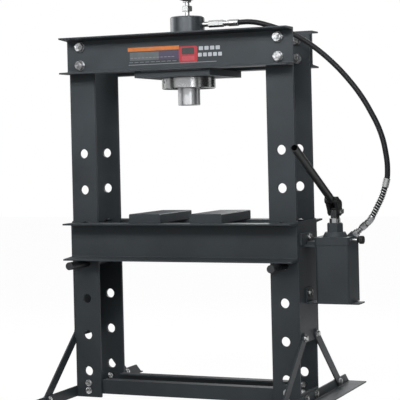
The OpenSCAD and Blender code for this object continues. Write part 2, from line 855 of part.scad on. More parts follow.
// The pump's cast head: block, coned boss, ears for the link, lug, outlet and valve bores
module pump_head() {
    w = tank_w + 2 * head_over;
    d = tank_d + 2 * head_over;
    color(PAINT) difference() {
        union() {
            translate([tank_mid, 0, head_z]) linear_extrude(head_h) rounded_rect(w, d, head_r);
            translate([x_out + angle_t + shelf_t + 2, -lug_y, head_z])
                cube([tank_x - x_out - angle_t + 8, 2 * lug_y, lug_h]);
            translate([rod_x, rod_y, head_top])
                cylinder(r1 = boss_r, r2 = boss_top_r, h = boss_h);
            for (s = [-1, 1])
                translate([rod_x + s * (link_t + ear_t + 2 * link_gap) / 2 - ear_t / 2, 0, 0])
                    along_x(0, ear_t)
                        link_2d([fulcrum_y, head_top - link_r], [fulcrum_y, link_pin_z],
                            link_r, link_r);
            translate(outlet) rotate([0, 180 - outlet_pitch(), 0])
                cylinder_x(outlet_r + 5, 0.2, 24);
        }
        translate([rod_x, rod_y, head_z - 1])
            cylinder(d = pump_rod_d + 2 * run_gap, h = head_h + boss_h + 2);
        translate([rod_x, fulcrum_y, link_pin_z])
            x_rod(lever_pin_d + 0.2, -tongue_t - ear_t, tongue_t + ear_t);
        translate([0, valve_y, valve_z])
            x_rod(valve_d + 2 * run_gap, tank_mid + w / 2 - 22, tank_mid + w);
    }
}

module cylinder_x(r, x0, x1) {
    x_rod(2 * r, x0, x1);
}

module pump_barrel() {
    color(STEEL) translate([rod_x, rod_y, head_z - barrel_h]) difference() {
        cylinder(d = pump_rod_d + 2 * barrel_wall, h = barrel_h);
        translate([0, 0, 8]) cylinder(d = pump_rod_d + 2 * run_gap, h = barrel_h);
    }
}

module gland_nut() {
    color(BLACK) translate([rod_x, rod_y, head_top + boss_h]) difference() {
        hexagon(gland_af, gland_nut_h);
        translate([0, 0, -1]) cylinder(d = pump_rod_d + 2 * run_gap, h = gland_nut_h + 2);
    }
}

// The chromed piston: round below, milled to a tongue with a pin hole on top
module pump_piston() {
    tongue_z = pin_z - cheek_r / cos(20) - pump_rod_d / 2 * tan(20) - 1;
    color(STEEL) translate([rod_x, rod_y, 0]) difference() {
        union() {
            translate([0, 0, head_z - barrel_h / 2])
                cylinder(d = pump_rod_d, h = tongue_z - head_z + barrel_h / 2);
            intersection() {
                translate([0, 0, tongue_z - 1]) cylinder(d = pump_rod_d, h = pin_z);
                along_x(-tongue_t / 2, tongue_t / 2)
                    link_2d([0, tongue_z - 20], [0, pin_z], pump_rod_d / 2, eye_r);
            }
        }
        translate([0, 0, pin_z]) x_rod(lever_pin_d + 0.2, -tongue_t, tongue_t);
    }
}

// The link that the lever turns on, pinned between the head's ears
module fulcrum_link() {
    color(PAINT) difference() {
        translate([rod_x, 0, 0]) along_x(-link_t / 2, link_t / 2)
            link_2d([fulcrum_y, link_pin_z], [fulcrum_y, lever_pin_z], link_r, link_r);
        for (z = [link_pin_z, lever_pin_z])
            translate([rod_x, fulcrum_y, z]) x_rod(lever_pin_d + 0.2, -tongue_t, tongue_t);
    }
}

module headed_pin(half) {
    x_rod(lever_pin_d, -half, half);
    for (s = [0, 1])
        mirror([s, 0, 0]) x_rod(lever_pin_d + 6, half - 0.5, half + 3);
}

// The lever's pin carries a collar on each side of the link
module lever_pins() {
    inner = tongue_t / 2 + cheek_gap;
    color(ZINC) translate([rod_x, fulcrum_y, 0]) {
        translate([0, 0, link_pin_z]) headed_pin(link_t / 2 + link_gap + ear_t + 1);
        translate([0, 0, lever_pin_z]) headed_pin(inner + cheek_rear_t + 1);
        for (s = [0, 1])
            translate([0, 0, lever_pin_z]) mirror([s, 0, 0])
                x_rod(lever_pin_d + 5, link_t / 2 + 0.3, inner - 0.5);
    }
}

module piston_pin() {
    color(ZINC) translate([rod_x, rod_y, pin_z])
        headed_pin(tongue_t / 2 + cheek_gap + cheek_t + 1);
}

// Cheek outline in (Y, Z): round the piston's pin, up to the crown and out to the boss
module cheek_2d() {
    p = [rod_y, pin_z];
    c = [crown_y, crown_z];
    s = [socket_y, socket_z];
    link_2d(p, c, cheek_r, crown_r);
    link_2d(c, s, crown_r, socket_r);
    link_2d(p, s, cheek_r, socket_r);
}

// The slot that the piston's pin slides in, and the hole on the fulcrum
module lever_holes_2d() {
    p = [rod_y, pin_z];
    r = lever_pin_d / 2 + slot_gap;
    link_2d(p + [1, 0], p - [slot_out, 0], r, r + 0.001);
    translate([fulcrum_y, lever_pin_z]) circle(d = lever_pin_d + 2 * run_gap);
}

// The cast lever: two cheeks that straddle the piston's tongue and narrow towards the
// fulcrum, the boss that joins them in front, and the spigot that the handle pipe fits over
module pump_lever() {
    inner = tongue_t / 2 + cheek_gap;
    p = [rod_y, pin_z];
    f = [fulcrum_y, lever_pin_z];
    color(BLACK) union() {
        for (s = [0, 1])
            translate([rod_x, 0, 0]) mirror([s, 0, 0]) {
                along_x(inner, inner + cheek_t) difference() {
                    cheek_2d();
                    lever_holes_2d();
                }
                along_x(inner, inner + cheek_rear_t) difference() {
                    link_2d(p, f, cheek_r, link_r + 2);
                    lever_holes_2d();
                }
            }
        translate([rod_x, socket_y, socket_z]) {
            x_rod(2 * socket_r + 1, -inner - cheek_t - 2, inner + cheek_t + 2);
            rotate([90 - handle_angle, 0, 0])
                cylinder(d = pipe_d - 2 * pipe_wall - 0.6, h = socket_r + spigot_len);
        }
    }
}

module handle_pipe() {
    root = socket_r + 0.8;
    color("#2b2d30") translate([rod_x, socket_y, socket_z]) rotate([90 - handle_angle, 0, 0])
        translate([0, 0, root]) difference() {
            cylinder(d = pipe_d, h = handle_len - root);
            translate([0, 0, -1]) cylinder(d = pipe_d - 2 * pipe_wall, h = handle_len + 2);
        }
}

// The release valve's screw, and its fluted knob
module release_valve() {
    x0 = tank_mid + tank_w / 2 + head_over - 20;
    color(STEEL) translate([0, valve_y, valve_z]) x_rod(valve_d, x0, x0 + 20 + valve_len);
}

module release_knob() {
    x0 = tank_mid + tank_w / 2 + head_over + valve_len - 6;
    color(BLACK) translate([x0, valve_y, valve_z]) rotate([0, 90, 0]) difference() {
        rotate_extrude() polygon([[0, 0], [knob_r - 5, 0], [knob_r - 4, 6], [knob_r, 9],
            [knob_r, knob_len - 2], [knob_r - 2, knob_len], [0, knob_len]]);
        translate([0, 0, -1]) cylinder(d = valve_d + 0.2, h = 7);
        for (i = [0:knob_flutes - 1])
            rotate([0, 0, 360 * i / knob_flutes]) translate([knob_r + 2.2, 0, 7])
                cylinder(r = 3.6, h = knob_len);
    }
}

// ---- Feet, crossbars and braces ----

// A foot is an angle along Y: its upright leg against the post, mitred at both ends
module foot() {
    h = foot_len / 2;
    e = h - foot_end;
    difference() {
        union() {
            translate([x_out, 0, 0]) rotate([90, 0, 90]) linear_extrude(angle_t)
                polygon([[-e, 0], [e, 0], [e, angle_t], [e - foot_mitre, foot_h],
                    [foot_mitre - e, foot_h], [-e, angle_t]]);
            translate([x_out, -h, 0]) cube([foot_w, foot_len, angle_t]);
            rotate([90, 0, 0]) linear_extrude(2 * e, center = true) difference() {
                translate([x_out + angle_t, angle_t]) square(4);
                translate([x_out + angle_t + 4, angle_t + 4]) circle(4);
            }
        }
        for (s = [-1, 1]) {
            translate([0, s * foot_bolt_y, foot_bolt_z])
                x_rod(small_d + 2 * bolt_gap, x_out - 1, x_out + angle_t + 1);
            translate([0, s * brace_foot_y, brace_foot_z])
                x_rod(small_d + 2 * bolt_gap, x_out - 1, x_out + angle_t + 1);
        }
    }
}

module left_foot() { color(PAINT) mirror([1, 0, 0]) foot(); }
module right_foot() { color(PAINT) foot(); }

// A crossbar is an angle bolted inside the front or rear bars, its flat leg on top
// and cut back between the posts
module crossbars() {
    color(PAINT) for (rear = [0, 1]) mirror([0, rear, 0]) difference() {
        union() {
            translate([-crossbar_x, -y_bar_in, crossbar_z])
                cube([2 * crossbar_x, angle_t, crossbar_h]);
            translate([1 - x_in, -y_bar_in, crossbar_z + crossbar_h - angle_t])
                cube([2 * x_in - 2, bar_leg, angle_t]);
        }
        for (s = [-1, 1], z = crossbar_bolts)
            translate([s * x_post, 0, z])
                y_rod(small_d + 2 * bolt_gap, -y_bar_in - 1, -y_bar_in + angle_t + 1);
    }
}

// A diagonal brace on the outer side, from the tie plate down to the foot
module brace() {
    difference() {
        along_x(x_out + angle_t, x_out + angle_t + brace_t)
            link_2d([brace_top_y, brace_top_z], [brace_foot_y, brace_foot_z],
                brace_w / 2, brace_w / 2);
        translate([0, brace_top_y, brace_top_z])
            x_rod(small_d + 2 * bolt_gap, x_out, x_out + 30);
        translate([0, brace_foot_y, brace_foot_z])
            x_rod(small_d + 2 * bolt_gap, x_out, x_out + 30);
    }
}

module brace_pair() {
    for (rear = [0, 1]) mirror([0, rear, 0]) brace();
}

module left_braces() { color(PAINT) mirror([1, 0, 0]) brace_pair(); }
module right_braces() { color(PAINT) brace_pair(); }

// Where each small bolt sits: [side, place on the outer face, grip]
// Bolts along X point inwards from the right side; they are mirrored to the left
module at_side_bolts(pump_side) {
    x1 = x_out + angle_t;
    for (s = [-1, 1]) {
        translate([x1 + brace_t, s * brace_top_y, brace_top_z]) rotate([0, -90, 0])
            small_set(brace_t + angle_t) children();
        translate([x1 + brace_t, s * brace_foot_y, brace_foot_z]) rotate([0, -90, 0])
            small_set(brace_t + angle_t) children();
        translate([x1, s * foot_bolt_y, foot_bolt_z]) rotate([0, -90, 0])
            small_set(angle_t + cleat_t) children();
    }
    if (pump_side) {
        translate([x1 + shelf_t, 0, bracket_bolt_z]) rotate([0, -90, 0])
            small_set(shelf_t + angle_t) children();
        translate([x1 + angle_t, 0, tank_bolt_z]) rotate([0, -90, 0])
            small_set(2 * angle_t) children();
    }
}

module small_set(grip) {
    $grip = grip;
    children();
}

module at_small_bolts() {
    at_side_bolts(true) children();
    mirror([1, 0, 0]) at_side_bolts(false) children();
    for (sx = [-1, 1], rear = [0, 1], z = crossbar_bolts)
        mirror([0, rear, 0]) translate([sx * x_post, -y_post, z]) rotate([-90, 0, 0])
            small_set(bar_t + angle_t) children();
}

module tie_bolts() {
    color(ZINC) at_small_bolts() translate([0, 0, -small_washer_t]) {
        bolt(small_d, small_af, small_head, $grip + small_washer_t, small_nut);
        cylinder(d = small_washer_d, h = small_washer_t);
    }
}

module tie_nuts() {
    color(ZINC) at_small_bolts() translate([0, 0, $grip]) nut(small_d, small_af, small_nut);
}

left_front_bar();
left_rear_bar();
right_front_bar();
right_rear_bar();
left_tie_plate();
right_tie_plate();
base_cleats();
front_beam();
rear_beam();
beam_bolts();
beam_washers();
beam_nuts();
cylinder_plate();
cylinder_node();  // cylinder
ring_nut();
ring_set_screw();
gland_bush();
wiper_ring();
ram();
piston_seal();
cap_spring_plug();
ram_spring_plug();
return_spring();
gauge_adapter();
gauge_case();
gauge_dial();
gauge_needle();
gauge_lens();
hose_adapter();
hose_ends();
hose();
hose_guard();
bed_front_channel();
bed_rear_channel();
bed_spacers();
left_bed_pin();
right_bed_pin();
left_arbor_plate();
right_arbor_plate();
pump_bracket();
tank_bracket();
oil_tank();
pump_head();
pump_barrel();
gland_nut();
pump_piston();
fulcrum_link();
lever_pins();
piston_pin();
pump_lever();
handle_pipe();
release_valve();
release_knob();
left_foot();
right_foot();
crossbars();
left_braces();
right_braces();
tie_bolts();
tie_nuts();
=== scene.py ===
import json
import math

import bmesh
import bpy
from bpy.props import FloatProperty, FloatVectorProperty, IntProperty, PointerProperty
from mathutils import Matrix, Vector


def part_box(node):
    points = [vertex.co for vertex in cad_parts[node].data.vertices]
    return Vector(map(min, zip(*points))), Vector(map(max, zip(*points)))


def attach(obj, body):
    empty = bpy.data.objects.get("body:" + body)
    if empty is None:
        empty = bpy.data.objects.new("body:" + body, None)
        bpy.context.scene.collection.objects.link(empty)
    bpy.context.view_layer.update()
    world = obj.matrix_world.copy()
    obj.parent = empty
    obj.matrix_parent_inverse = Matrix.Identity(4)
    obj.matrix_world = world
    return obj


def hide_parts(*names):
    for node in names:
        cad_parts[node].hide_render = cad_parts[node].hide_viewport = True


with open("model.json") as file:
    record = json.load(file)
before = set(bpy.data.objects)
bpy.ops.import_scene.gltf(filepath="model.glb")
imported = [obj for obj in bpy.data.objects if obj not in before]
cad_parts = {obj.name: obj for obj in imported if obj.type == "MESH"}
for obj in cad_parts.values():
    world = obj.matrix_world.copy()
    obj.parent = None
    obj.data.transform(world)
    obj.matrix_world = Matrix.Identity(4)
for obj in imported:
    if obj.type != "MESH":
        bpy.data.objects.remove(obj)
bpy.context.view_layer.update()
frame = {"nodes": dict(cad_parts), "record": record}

bl_info = {
    "name": "Workshop Press",
    "version": (1, 0, 0),
    "blender": (4, 5, 0),
    "location": "View3D > Sidebar > Press",
    "description": "Finishes a hydraulic workshop press and sets it on a plain stage",
    "category": "Add Mesh",
}

NODES = frame["nodes"]
BODY_OF = {node: body for body, held in frame["record"]["behaviour"]["bodies"].items()
           for node in held}


def low(node):
    """The lowest corner of a CAD node's box."""
    return Vector(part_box(node)[0])


def high(node):
    """The highest corner of a CAD node's box."""
    return Vector(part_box(node)[1])


def middle(node):
    """The middle of a CAD node's box."""
    return (low(node) + high(node)) / 2


# ---- Sizes and colours a user would change ----


class PressCamera(bpy.types.PropertyGroup):
    place: FloatVectorProperty(name="Place", description="Where the camera stands", size=3,
                               subtype="TRANSLATION", default=(2.1449, -4.9402, 0.9751))
    azimuth: FloatProperty(name="Azimuth", description="Turn of the camera round the press",
                           subtype="ANGLE", default=0.4027)
    roll: FloatProperty(name="Roll", description="Tilt of the camera about its line of sight",
                        subtype="ANGLE", default=-0.0233)
    lens: FloatProperty(name="Lens", description="Focal length in millimetres", default=126.8)
    shift: FloatProperty(name="Shift", description="Upward shift of the view", default=-0.145)


class PressColours(bpy.types.PropertyGroup):
    paint: FloatVectorProperty(name="Paint", description="Powder coat on the steelwork", size=3,
                               subtype="COLOR", default=(0.043, 0.051, 0.057))
    cylinder: FloatVectorProperty(name="Cylinder", description="Metallic paint on the cylinder",
                                  size=3, subtype="COLOR", default=(0.070, 0.078, 0.086))
    casting: FloatVectorProperty(name="Casting", description="Black enamel on the pump's lever",
                                 size=3, subtype="COLOR", default=(0.012, 0.013, 0.014))
    chrome: FloatVectorProperty(name="Chrome", description="Hard chrome on the ram", size=3,
                                subtype="COLOR", default=(0.46, 0.47, 0.48))
    zinc: FloatVectorProperty(name="Zinc", description="Zinc plate on the fittings", size=3,
                              subtype="COLOR", default=(0.46, 0.47, 0.47))
    rubber: FloatVectorProperty(name="Rubber", description="Cover of the hose", size=3,
                                subtype="COLOR", default=(0.0085, 0.0092, 0.0105))
    stripe: FloatVectorProperty(name="Stripe", description="The label's stripe", size=3,
                                subtype="COLOR", default=(0.52, 0.145, 0.022))
    badge: FloatVectorProperty(name="Badge", description="The label's badge", size=3,
                               subtype="COLOR", default=(0.38, 0.017, 0.027))


class PressHose(bpy.types.PropertyGroup):
    diameter: FloatProperty(name="Diameter", description="Outer diameter of the hose",
                            unit="LENGTH", default=0.020)
    sides: IntProperty(name="Sides", description="Sides of the hose's tube", default=32)
    wire: FloatProperty(name="Guard wire", description="Thickness of the spring guard's wire",
                        unit="LENGTH", default=0.0030)
    pitch: FloatProperty(name="Guard pitch", description="Distance between the guard's turns",
                         unit="LENGTH", default=0.0100)


class PressLabel(bpy.types.PropertyGroup):
    film: FloatProperty(name="Film", description="Thickness of the label's film",
                        unit="LENGTH", default=0.0003)


class PressStage(bpy.types.PropertyGroup):
    key: FloatProperty(name="Key", description="Power of the key light", subtype="POWER",
                       default=30)
    fill: FloatProperty(name="Fill", description="Power of the fill light", subtype="POWER",
                        default=8)
    strip: FloatProperty(name="Strip", description="Power of the narrow front light",
                         subtype="POWER", default=9)
    back: FloatProperty(name="Back", description="Power of the light behind the press",
                        subtype="POWER", default=24)
    sky: FloatProperty(name="Sky", description="Strength of the room's light", default=0.31)


SETTINGS = {
    "press_camera": PressCamera,
    "press_colours": PressColours,
    "press_hose": PressHose,
    "press_label": PressLabel,
    "press_stage": PressStage,
}


# ---- Small helpers ----

# Points of a CAD copy nearer than this become one.
MERGE = 0.00001


def deselect():
    """Leaves nothing selected, in object mode."""
    if bpy.context.mode != "OBJECT":
        bpy.ops.object.mode_set(mode="OBJECT")
    bpy.ops.object.select_all(action="DESELECT")


def pick(*pieces):
    """Selects only these pieces, with the first one active."""
    deselect()
    for piece in pieces:
        piece.select_set(True)
    bpy.context.view_layer.objects.active = pieces[0]


def added(operator, **values):
    """Adds a primitive with nothing else selected, and returns it."""
    deselect()
    operator(**values)
    return bpy.context.active_object


def edit_all(piece):
    """Opens a piece in edit mode with everything in it selected."""
    pick(piece)
    bpy.ops.object.mode_set(mode="EDIT")
    bpy.ops.mesh.select_all(action="SELECT")


def face_out(piece):
    """Turns the faces of a closed piece outwards."""
    edit_all(piece)
    bpy.ops.mesh.normals_make_consistent(inside=False)
    deselect()


def settle(piece):
    """Puts a piece's place, turn and scale into its mesh."""
    pick(piece)
    bpy.ops.object.transform_apply(location=True, rotation=True, scale=True)


def block(size, place, turn=(0, 0, 0)):
    """A block of this size at this place."""
    piece = added(bpy.ops.mesh.primitive_cube_add, size=1, location=place, rotation=turn)
    piece.scale = size
    settle(piece)
    return piece


def apply_all(piece):
    """Applies a piece's modifiers, in order."""
    pick(piece)
    for modifier in list(piece.modifiers):
        bpy.ops.object.modifier_apply(modifier=modifier.name)


def finish_piece(piece, name, body, key, smooth=None):
    """Gives a piece its name, its finish and its body; smooth is an angle in degrees."""
    settle(piece)
    if smooth is not None:
        bpy.ops.object.shade_smooth_by_angle(angle=math.radians(smooth))
    piece.name = name
    piece.data.name = name
    piece.data.materials.clear()
    piece.data.materials.append(finish(key))
    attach(piece, body)
    return piece


def joined(pieces):
    """Joins pieces into the first one."""
    pick(*pieces)
    bpy.ops.object.join()
    return bpy.context.active_object


def mesh_object(name, verts, faces, uvs=None):
    """A mesh object from points and faces, with a UV map when the faces' corners have one."""
    mesh = bpy.data.meshes.new(name)
    mesh.from_pydata([tuple(v) for v in verts], [], faces)
    if uvs:
        layer = mesh.uv_layers.new(name="UVMap")
        for loop, uv in zip(layer.data, uvs):
            loop.uv = uv
    piece = bpy.data.objects.new(name, mesh)
    bpy.context.scene.collection.objects.link(piece)
    return piece


def skin(node, key, angle, name=None, keep=None):
    """A merged and smooth copy of a CAD node, or of the part that keep picks, in its place."""
    piece = bpy.data.objects.new(name or f"{node}_skin", NODES[node].data.copy())
    bpy.context.scene.collection.objects.link(piece)
    pick(piece)
    if piece.data.has_custom_normals:
        bpy.ops.mesh.customdata_custom_splitnormals_clear()
    edit_all(piece)
    bpy.ops.mesh.remove_doubles(threshold=MERGE)
    if keep:
        shape = bmesh.from_edit_mesh(piece.data)
        for vertex in shape.verts:
            vertex.select_set(not keep(vertex.co))
        shape.select_flush(False)
        bmesh.update_edit_mesh(piece.data)
        bpy.ops.mesh.delete(type="VERT")
    deselect()
    finish_piece(piece, piece.name, BODY_OF[node], key, angle)
    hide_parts(node)
    return piece


# ---- Shader node groups ----


def new_group(name, inputs, outputs):
    """A shader node group with named float inputs and outputs, and its end nodes."""
    tree = bpy.data.node_groups.new(name, "ShaderNodeTree")
    for label, value in inputs:
        socket = tree.interface.new_socket(label, in_out="INPUT", socket_type="NodeSocketFloat")
        socket.default_value = value
    for label in outputs:
        tree.interface.new_socket(label, in_out="OUTPUT", socket_type="NodeSocketFloat")
    return tree, tree.nodes.new("NodeGroupInput"), tree.nodes.new("NodeGroupOutput")


def preset(node, inputs):
    """Gives a node's inputs their plain values."""
    for label, value in inputs.items():
        node.inputs[label].default_value = value
    return node


def put(tree, kind, inputs=None, **values):
    """Adds a node and sets its properties, and the plain values of its inputs."""
    node = tree.nodes.new(kind)
    for key, value in values.items():
        setattr(node, key, value)
    return preset(node, inputs or {})


def fed(tree, value, socket):
    """Feeds a socket from another one, or gives it a plain number or colour."""
    if isinstance(value, bpy.types.NodeSocket):
        tree.links.new(value, socket)
    elif isinstance(value, (int, float)):
        socket.default_value = value
    else:
        socket.default_value = (*value[:3], 1)


def noise(tree, scale, detail, place=None):
    """Noise over a piece's own coordinates, or over the ones given."""
    node = put(tree, "ShaderNodeTexNoise", {"Detail": detail})
    fed(tree, scale, node.inputs["Scale"])
    fed(tree, place or put(tree, "ShaderNodeTexCoord").outputs["Object"], node.inputs["Vector"])
    return node.outputs["Fac"]


def combined(tree, operation, *values):
    """Two or more values in one: their product, or the greatest."""
    total = values[0]
    for value in values[1:]:
        node = put(tree, "ShaderNodeMath", operation=operation)
        fed(tree, total, node.inputs[0])
        fed(tree, value, node.inputs[1])
        total = node.outputs["Value"]
    return total


def ranged(tree, source, low_value, high_value, start=0.3, stop=0.7):
    """Maps a mask onto a range of values."""
    node = put(tree, "ShaderNodeMapRange", {"From Min": start, "From Max": stop,
                                            "To Min": low_value, "To Max": high_value})
    tree.links.new(source, node.inputs["Value"])
    return node.outputs["Result"]


def edge_wear_group():
    """Mask of the edges that hands and tools rub and that take a painted highlight, from the gap
    between round and flat normals.
    """
    tree, start, end = new_group("Edge Wear", [("Radius", 0.002), ("Amount", 0.5)], ["Mask"])
    bevel = put(tree, "ShaderNodeBevel", samples=4)
    flat = put(tree, "ShaderNodeNewGeometry")
    likeness = put(tree, "ShaderNodeVectorMath", operation="DOT_PRODUCT")
    tree.links.new(start.outputs["Radius"], bevel.inputs["Radius"])
    tree.links.new(bevel.outputs["Normal"], likeness.inputs[0])
    tree.links.new(flat.outputs["Normal"], likeness.inputs[1])
    edge = ranged(tree, likeness.outputs["Value"], 0.0, 1.0, start=0.995, stop=0.80)
    broken = ranged(tree, noise(tree, scale=70, detail=4), 0.0, 1.0, start=0.42, stop=0.60)
    mask = combined(tree, "MULTIPLY", edge, broken, start.outputs["Amount"])
    tree.links.new(mask, end.inputs["Mask"])
    return tree


def skin_group():
    """Fine relief of a sprayed coat, and the slow change of tone over a large face."""
    tree, start, end = new_group("Sprayed Skin", [("Peel Scale", 900.0), ("Tone Scale", 5.0)],
                                 ["Peel", "Tone"])
    for label, detail in (("Peel", 2), ("Tone", 5)):
        tree.links.new(noise(tree, start.outputs[f"{label} Scale"], detail), end.inputs[label])
    return tree


def dust_group():
    """Mask of the dust that settles on faces that look up."""
    tree, start, end = new_group("Settled Dust", [("Scale", 24.0), ("Amount", 0.3)], ["Mask"])
    flat = put(tree, "ShaderNodeNewGeometry")
    split = put(tree, "ShaderNodeSeparateXYZ")
    tree.links.new(flat.outputs["Normal"], split.inputs["Vector"])
    upward = ranged(tree, split.outputs["Z"], 0.0, 1.0, start=0.6, stop=1.0)
    patches = noise(tree, start.outputs["Scale"], detail=6)
    mask = combined(tree, "MULTIPLY", upward, patches, start.outputs["Amount"])
    tree.links.new(mask, end.inputs["Mask"])
    return tree


def turned_group():
    """Fine lines that a lathe leaves, as bands along Z, and scattered scratches."""
    tree, start, end = new_group("Turned Lines", [("Scale", 400.0)], ["Height", "Scratch"])
    place = put(tree, "ShaderNodeTexCoord").outputs["Object"]
    stretch = put(tree, "ShaderNodeMapping", {"Scale": (0.02, 0.02, 1.0)})
    tree.links.new(place, stretch.inputs["Vector"])
    lines = noise(tree, start.outputs["Scale"], 4, stretch.outputs["Vector"])
    tree.links.new(lines, end.inputs["Height"])
    tree.links.new(noise(tree, scale=60, detail=8, place=place), end.inputs["Scratch"])
    return tree


GROUPS = {"edge": edge_wear_group, "skin": skin_group, "dust": dust_group, "turned": turned_group}
BUILT = {}


def group_node(tree, key, **values):
    """Places a shared effect in a material, with the material's own values."""
    if key not in BUILT:
        BUILT[key] = GROUPS[key]()
    inputs = {label.replace("_", " "): value for label, value in values.items()}
    return put(tree, "ShaderNodeGroup", inputs, node_tree=BUILT[key])


# ---- Materials ----


def blank_material(name):
    """A new material with its Principled shader."""
    material = bpy.data.materials.new(name)
    material.use_nodes = True
    return material, material.node_tree, material.node_tree.nodes["Principled BSDF"]


# Places of a colour mix's sockets; its other kinds have sockets of the same names.
MIX_FACTOR, MIX_UNDER, MIX_OVER, MIX_RESULT = 0, 6, 7, 2

# The colour of settled dust, and how far a coat's tone swings over a large face.
DUST_COLOUR, TONE_SWING = (0.22, 0.215, 0.205), 0.18


def mixed(tree, factor, under, over):
    """A colour that turns from one to another; each is a socket or a plain colour."""
    mix = put(tree, "ShaderNodeMix", data_type="RGBA")
    fed(tree, factor, mix.inputs[MIX_FACTOR])
    fed(tree, under, mix.inputs[MIX_UNDER])
    fed(tree, over, mix.inputs[MIX_OVER])
    return mix.outputs[MIX_RESULT]


def surface(tree, shader, colour, mask, least, most):
    """Gives a shader its colour, and a roughness that follows a mask."""
    tree.links.new(colour, shader.inputs["Base Color"])
    tree.links.new(ranged(tree, mask, least, most), shader.inputs["Roughness"])


def shade(colour, share):
    """A colour made darker or lighter."""
    return [min(1.0, c * share) for c in colour]


def bumped(tree, shader, height, strength, distance):
    """Gives a shader a bump from a height."""
    bump = put(tree, "ShaderNodeBump", {"Strength": strength, "Distance": distance})
    tree.links.new(height, bump.inputs["Height"])
    tree.links.new(bump.outputs["Normal"], shader.inputs["Normal"])


def coat(tree, shader, colour, roughness, metallic=0.0, wear=0.35, dust=0.10, peel=0.12,
         specular=0.5, edge_wear_and_highlight_colour=(0.20, 0.21, 0.22)):
    """A sprayed or baked coat: tone, dust, edges lightened as worn paint and as a painted
    highlight, and orange peel.
    """
    skin = group_node(tree, "skin")
    edge = group_node(tree, "edge", Radius=0.0018, Amount=wear)
    dusty = group_node(tree, "dust", Amount=dust)
    toned = mixed(tree, ranged(tree, skin.outputs["Tone"], 0.0, 1.0),
                  shade(colour, 1 - TONE_SWING), shade(colour, 1 + TONE_SWING))
    dusted = mixed(tree, dusty.outputs["Mask"], toned, DUST_COLOUR)
    # Edges take a lighter colour: worn paint, and a painted highlight where they catch the light.
    rubbed_and_highlit = mixed(tree, edge.outputs["Mask"], dusted, edge_wear_and_highlight_colour)
    surface(tree, shader, rubbed_and_highlit, skin.outputs["Tone"], roughness - 0.05, roughness + 0.06)
    preset(shader, {"Metallic": metallic, "Specular IOR Level": specular})
    bumped(tree, shader, skin.outputs["Peel"], strength=peel, distance=0.0004)


def metal(tree, shader, colour, roughness, wear=0.2, lines=0.08, scale=400.0, stain=0.25,
          dull=0.72, mottle=0.0, dents=0.0):
    """Bare or plated metal: turned lines or forged dents, scratches, duller patches, and lighter
    edges that are partly worn and partly a painted highlight.
    """
    turned = group_node(tree, "turned", Scale=scale)
    edge = group_node(tree, "edge", Radius=0.0010, Amount=wear)
    toned = mixed(tree, ranged(tree, turned.outputs["Scratch"], -mottle, stain + mottle),
                  colour, shade(colour, dull))
    # Edges turn lighter: worn metal, and a painted highlight along them.
    bright = mixed(tree, edge.outputs["Mask"], toned, shade(colour, 1.25))
    surface(tree, shader, bright, turned.outputs["Scratch"], roughness * 0.8, roughness * 1.3)
    preset(shader, {"Metallic": 1.0})
    if dents:
        bumped(tree, shader, turned.outputs["Scratch"], strength=dents, distance=0.003)
    else:
        bumped(tree, shader, turned.outputs["Height"], strength=lines, distance=0.0003)


def hose_rubber(tree, shader, colour, roughness):
    """Rubber cover with the cloth marks that wrapped curing leaves round the hose."""
    where = put(tree, "ShaderNodeUVMap", uv_map="UVMap")
    stretch = put(tree, "ShaderNodeMapping", {"Scale": (3.0, 260.0, 1.0),
                                              "Rotation": (0.0, 0.0, 0.012)})
    wave = put(tree, "ShaderNodeTexWave", {"Scale": 0.35, "Distortion": 0.6},
               wave_type="BANDS", bands_direction="Y")
    skin = group_node(tree, "skin", Peel_Scale=1400.0, Tone_Scale=30.0)
    tree.links.new(where.outputs["UV"], stretch.inputs["Vector"])
    tree.links.new(stretch.outputs["Vector"], wave.inputs["Vector"])
    worn = mixed(tree, ranged(tree, skin.outputs["Tone"], 0.0, 0.6), colour, shade(colour, 1.6))
    surface(tree, shader, worn, skin.outputs["Tone"], roughness, roughness + 0.14)
    preset(shader, {"Specular IOR Level": 0.18})
    bumped(tree, shader, wave.outputs["Fac"], strength=0.35, distance=0.0006)


def ink(tree, shader, colour, roughness):
    """Printed film: an even colour with the faint grain of the ink."""
    skin = group_node(tree, "skin", Peel_Scale=1600.0, Tone_Scale=60.0)
    inked = mixed(tree, ranged(tree, skin.outputs["Tone"], 0.0, 1.0),
                  shade(colour, 0.88), shade(colour, 1.06))
    surface(tree, shader, inked, skin.outputs["Peel"], roughness, roughness + 0.1)


def glass(tree, shader, colour, roughness):
    """Clear glass over the dial."""
    preset(shader, {"Base Color": (*colour, 1), "Roughness": roughness,
                    "Transmission Weight": 1.0, "IOR": 1.45})


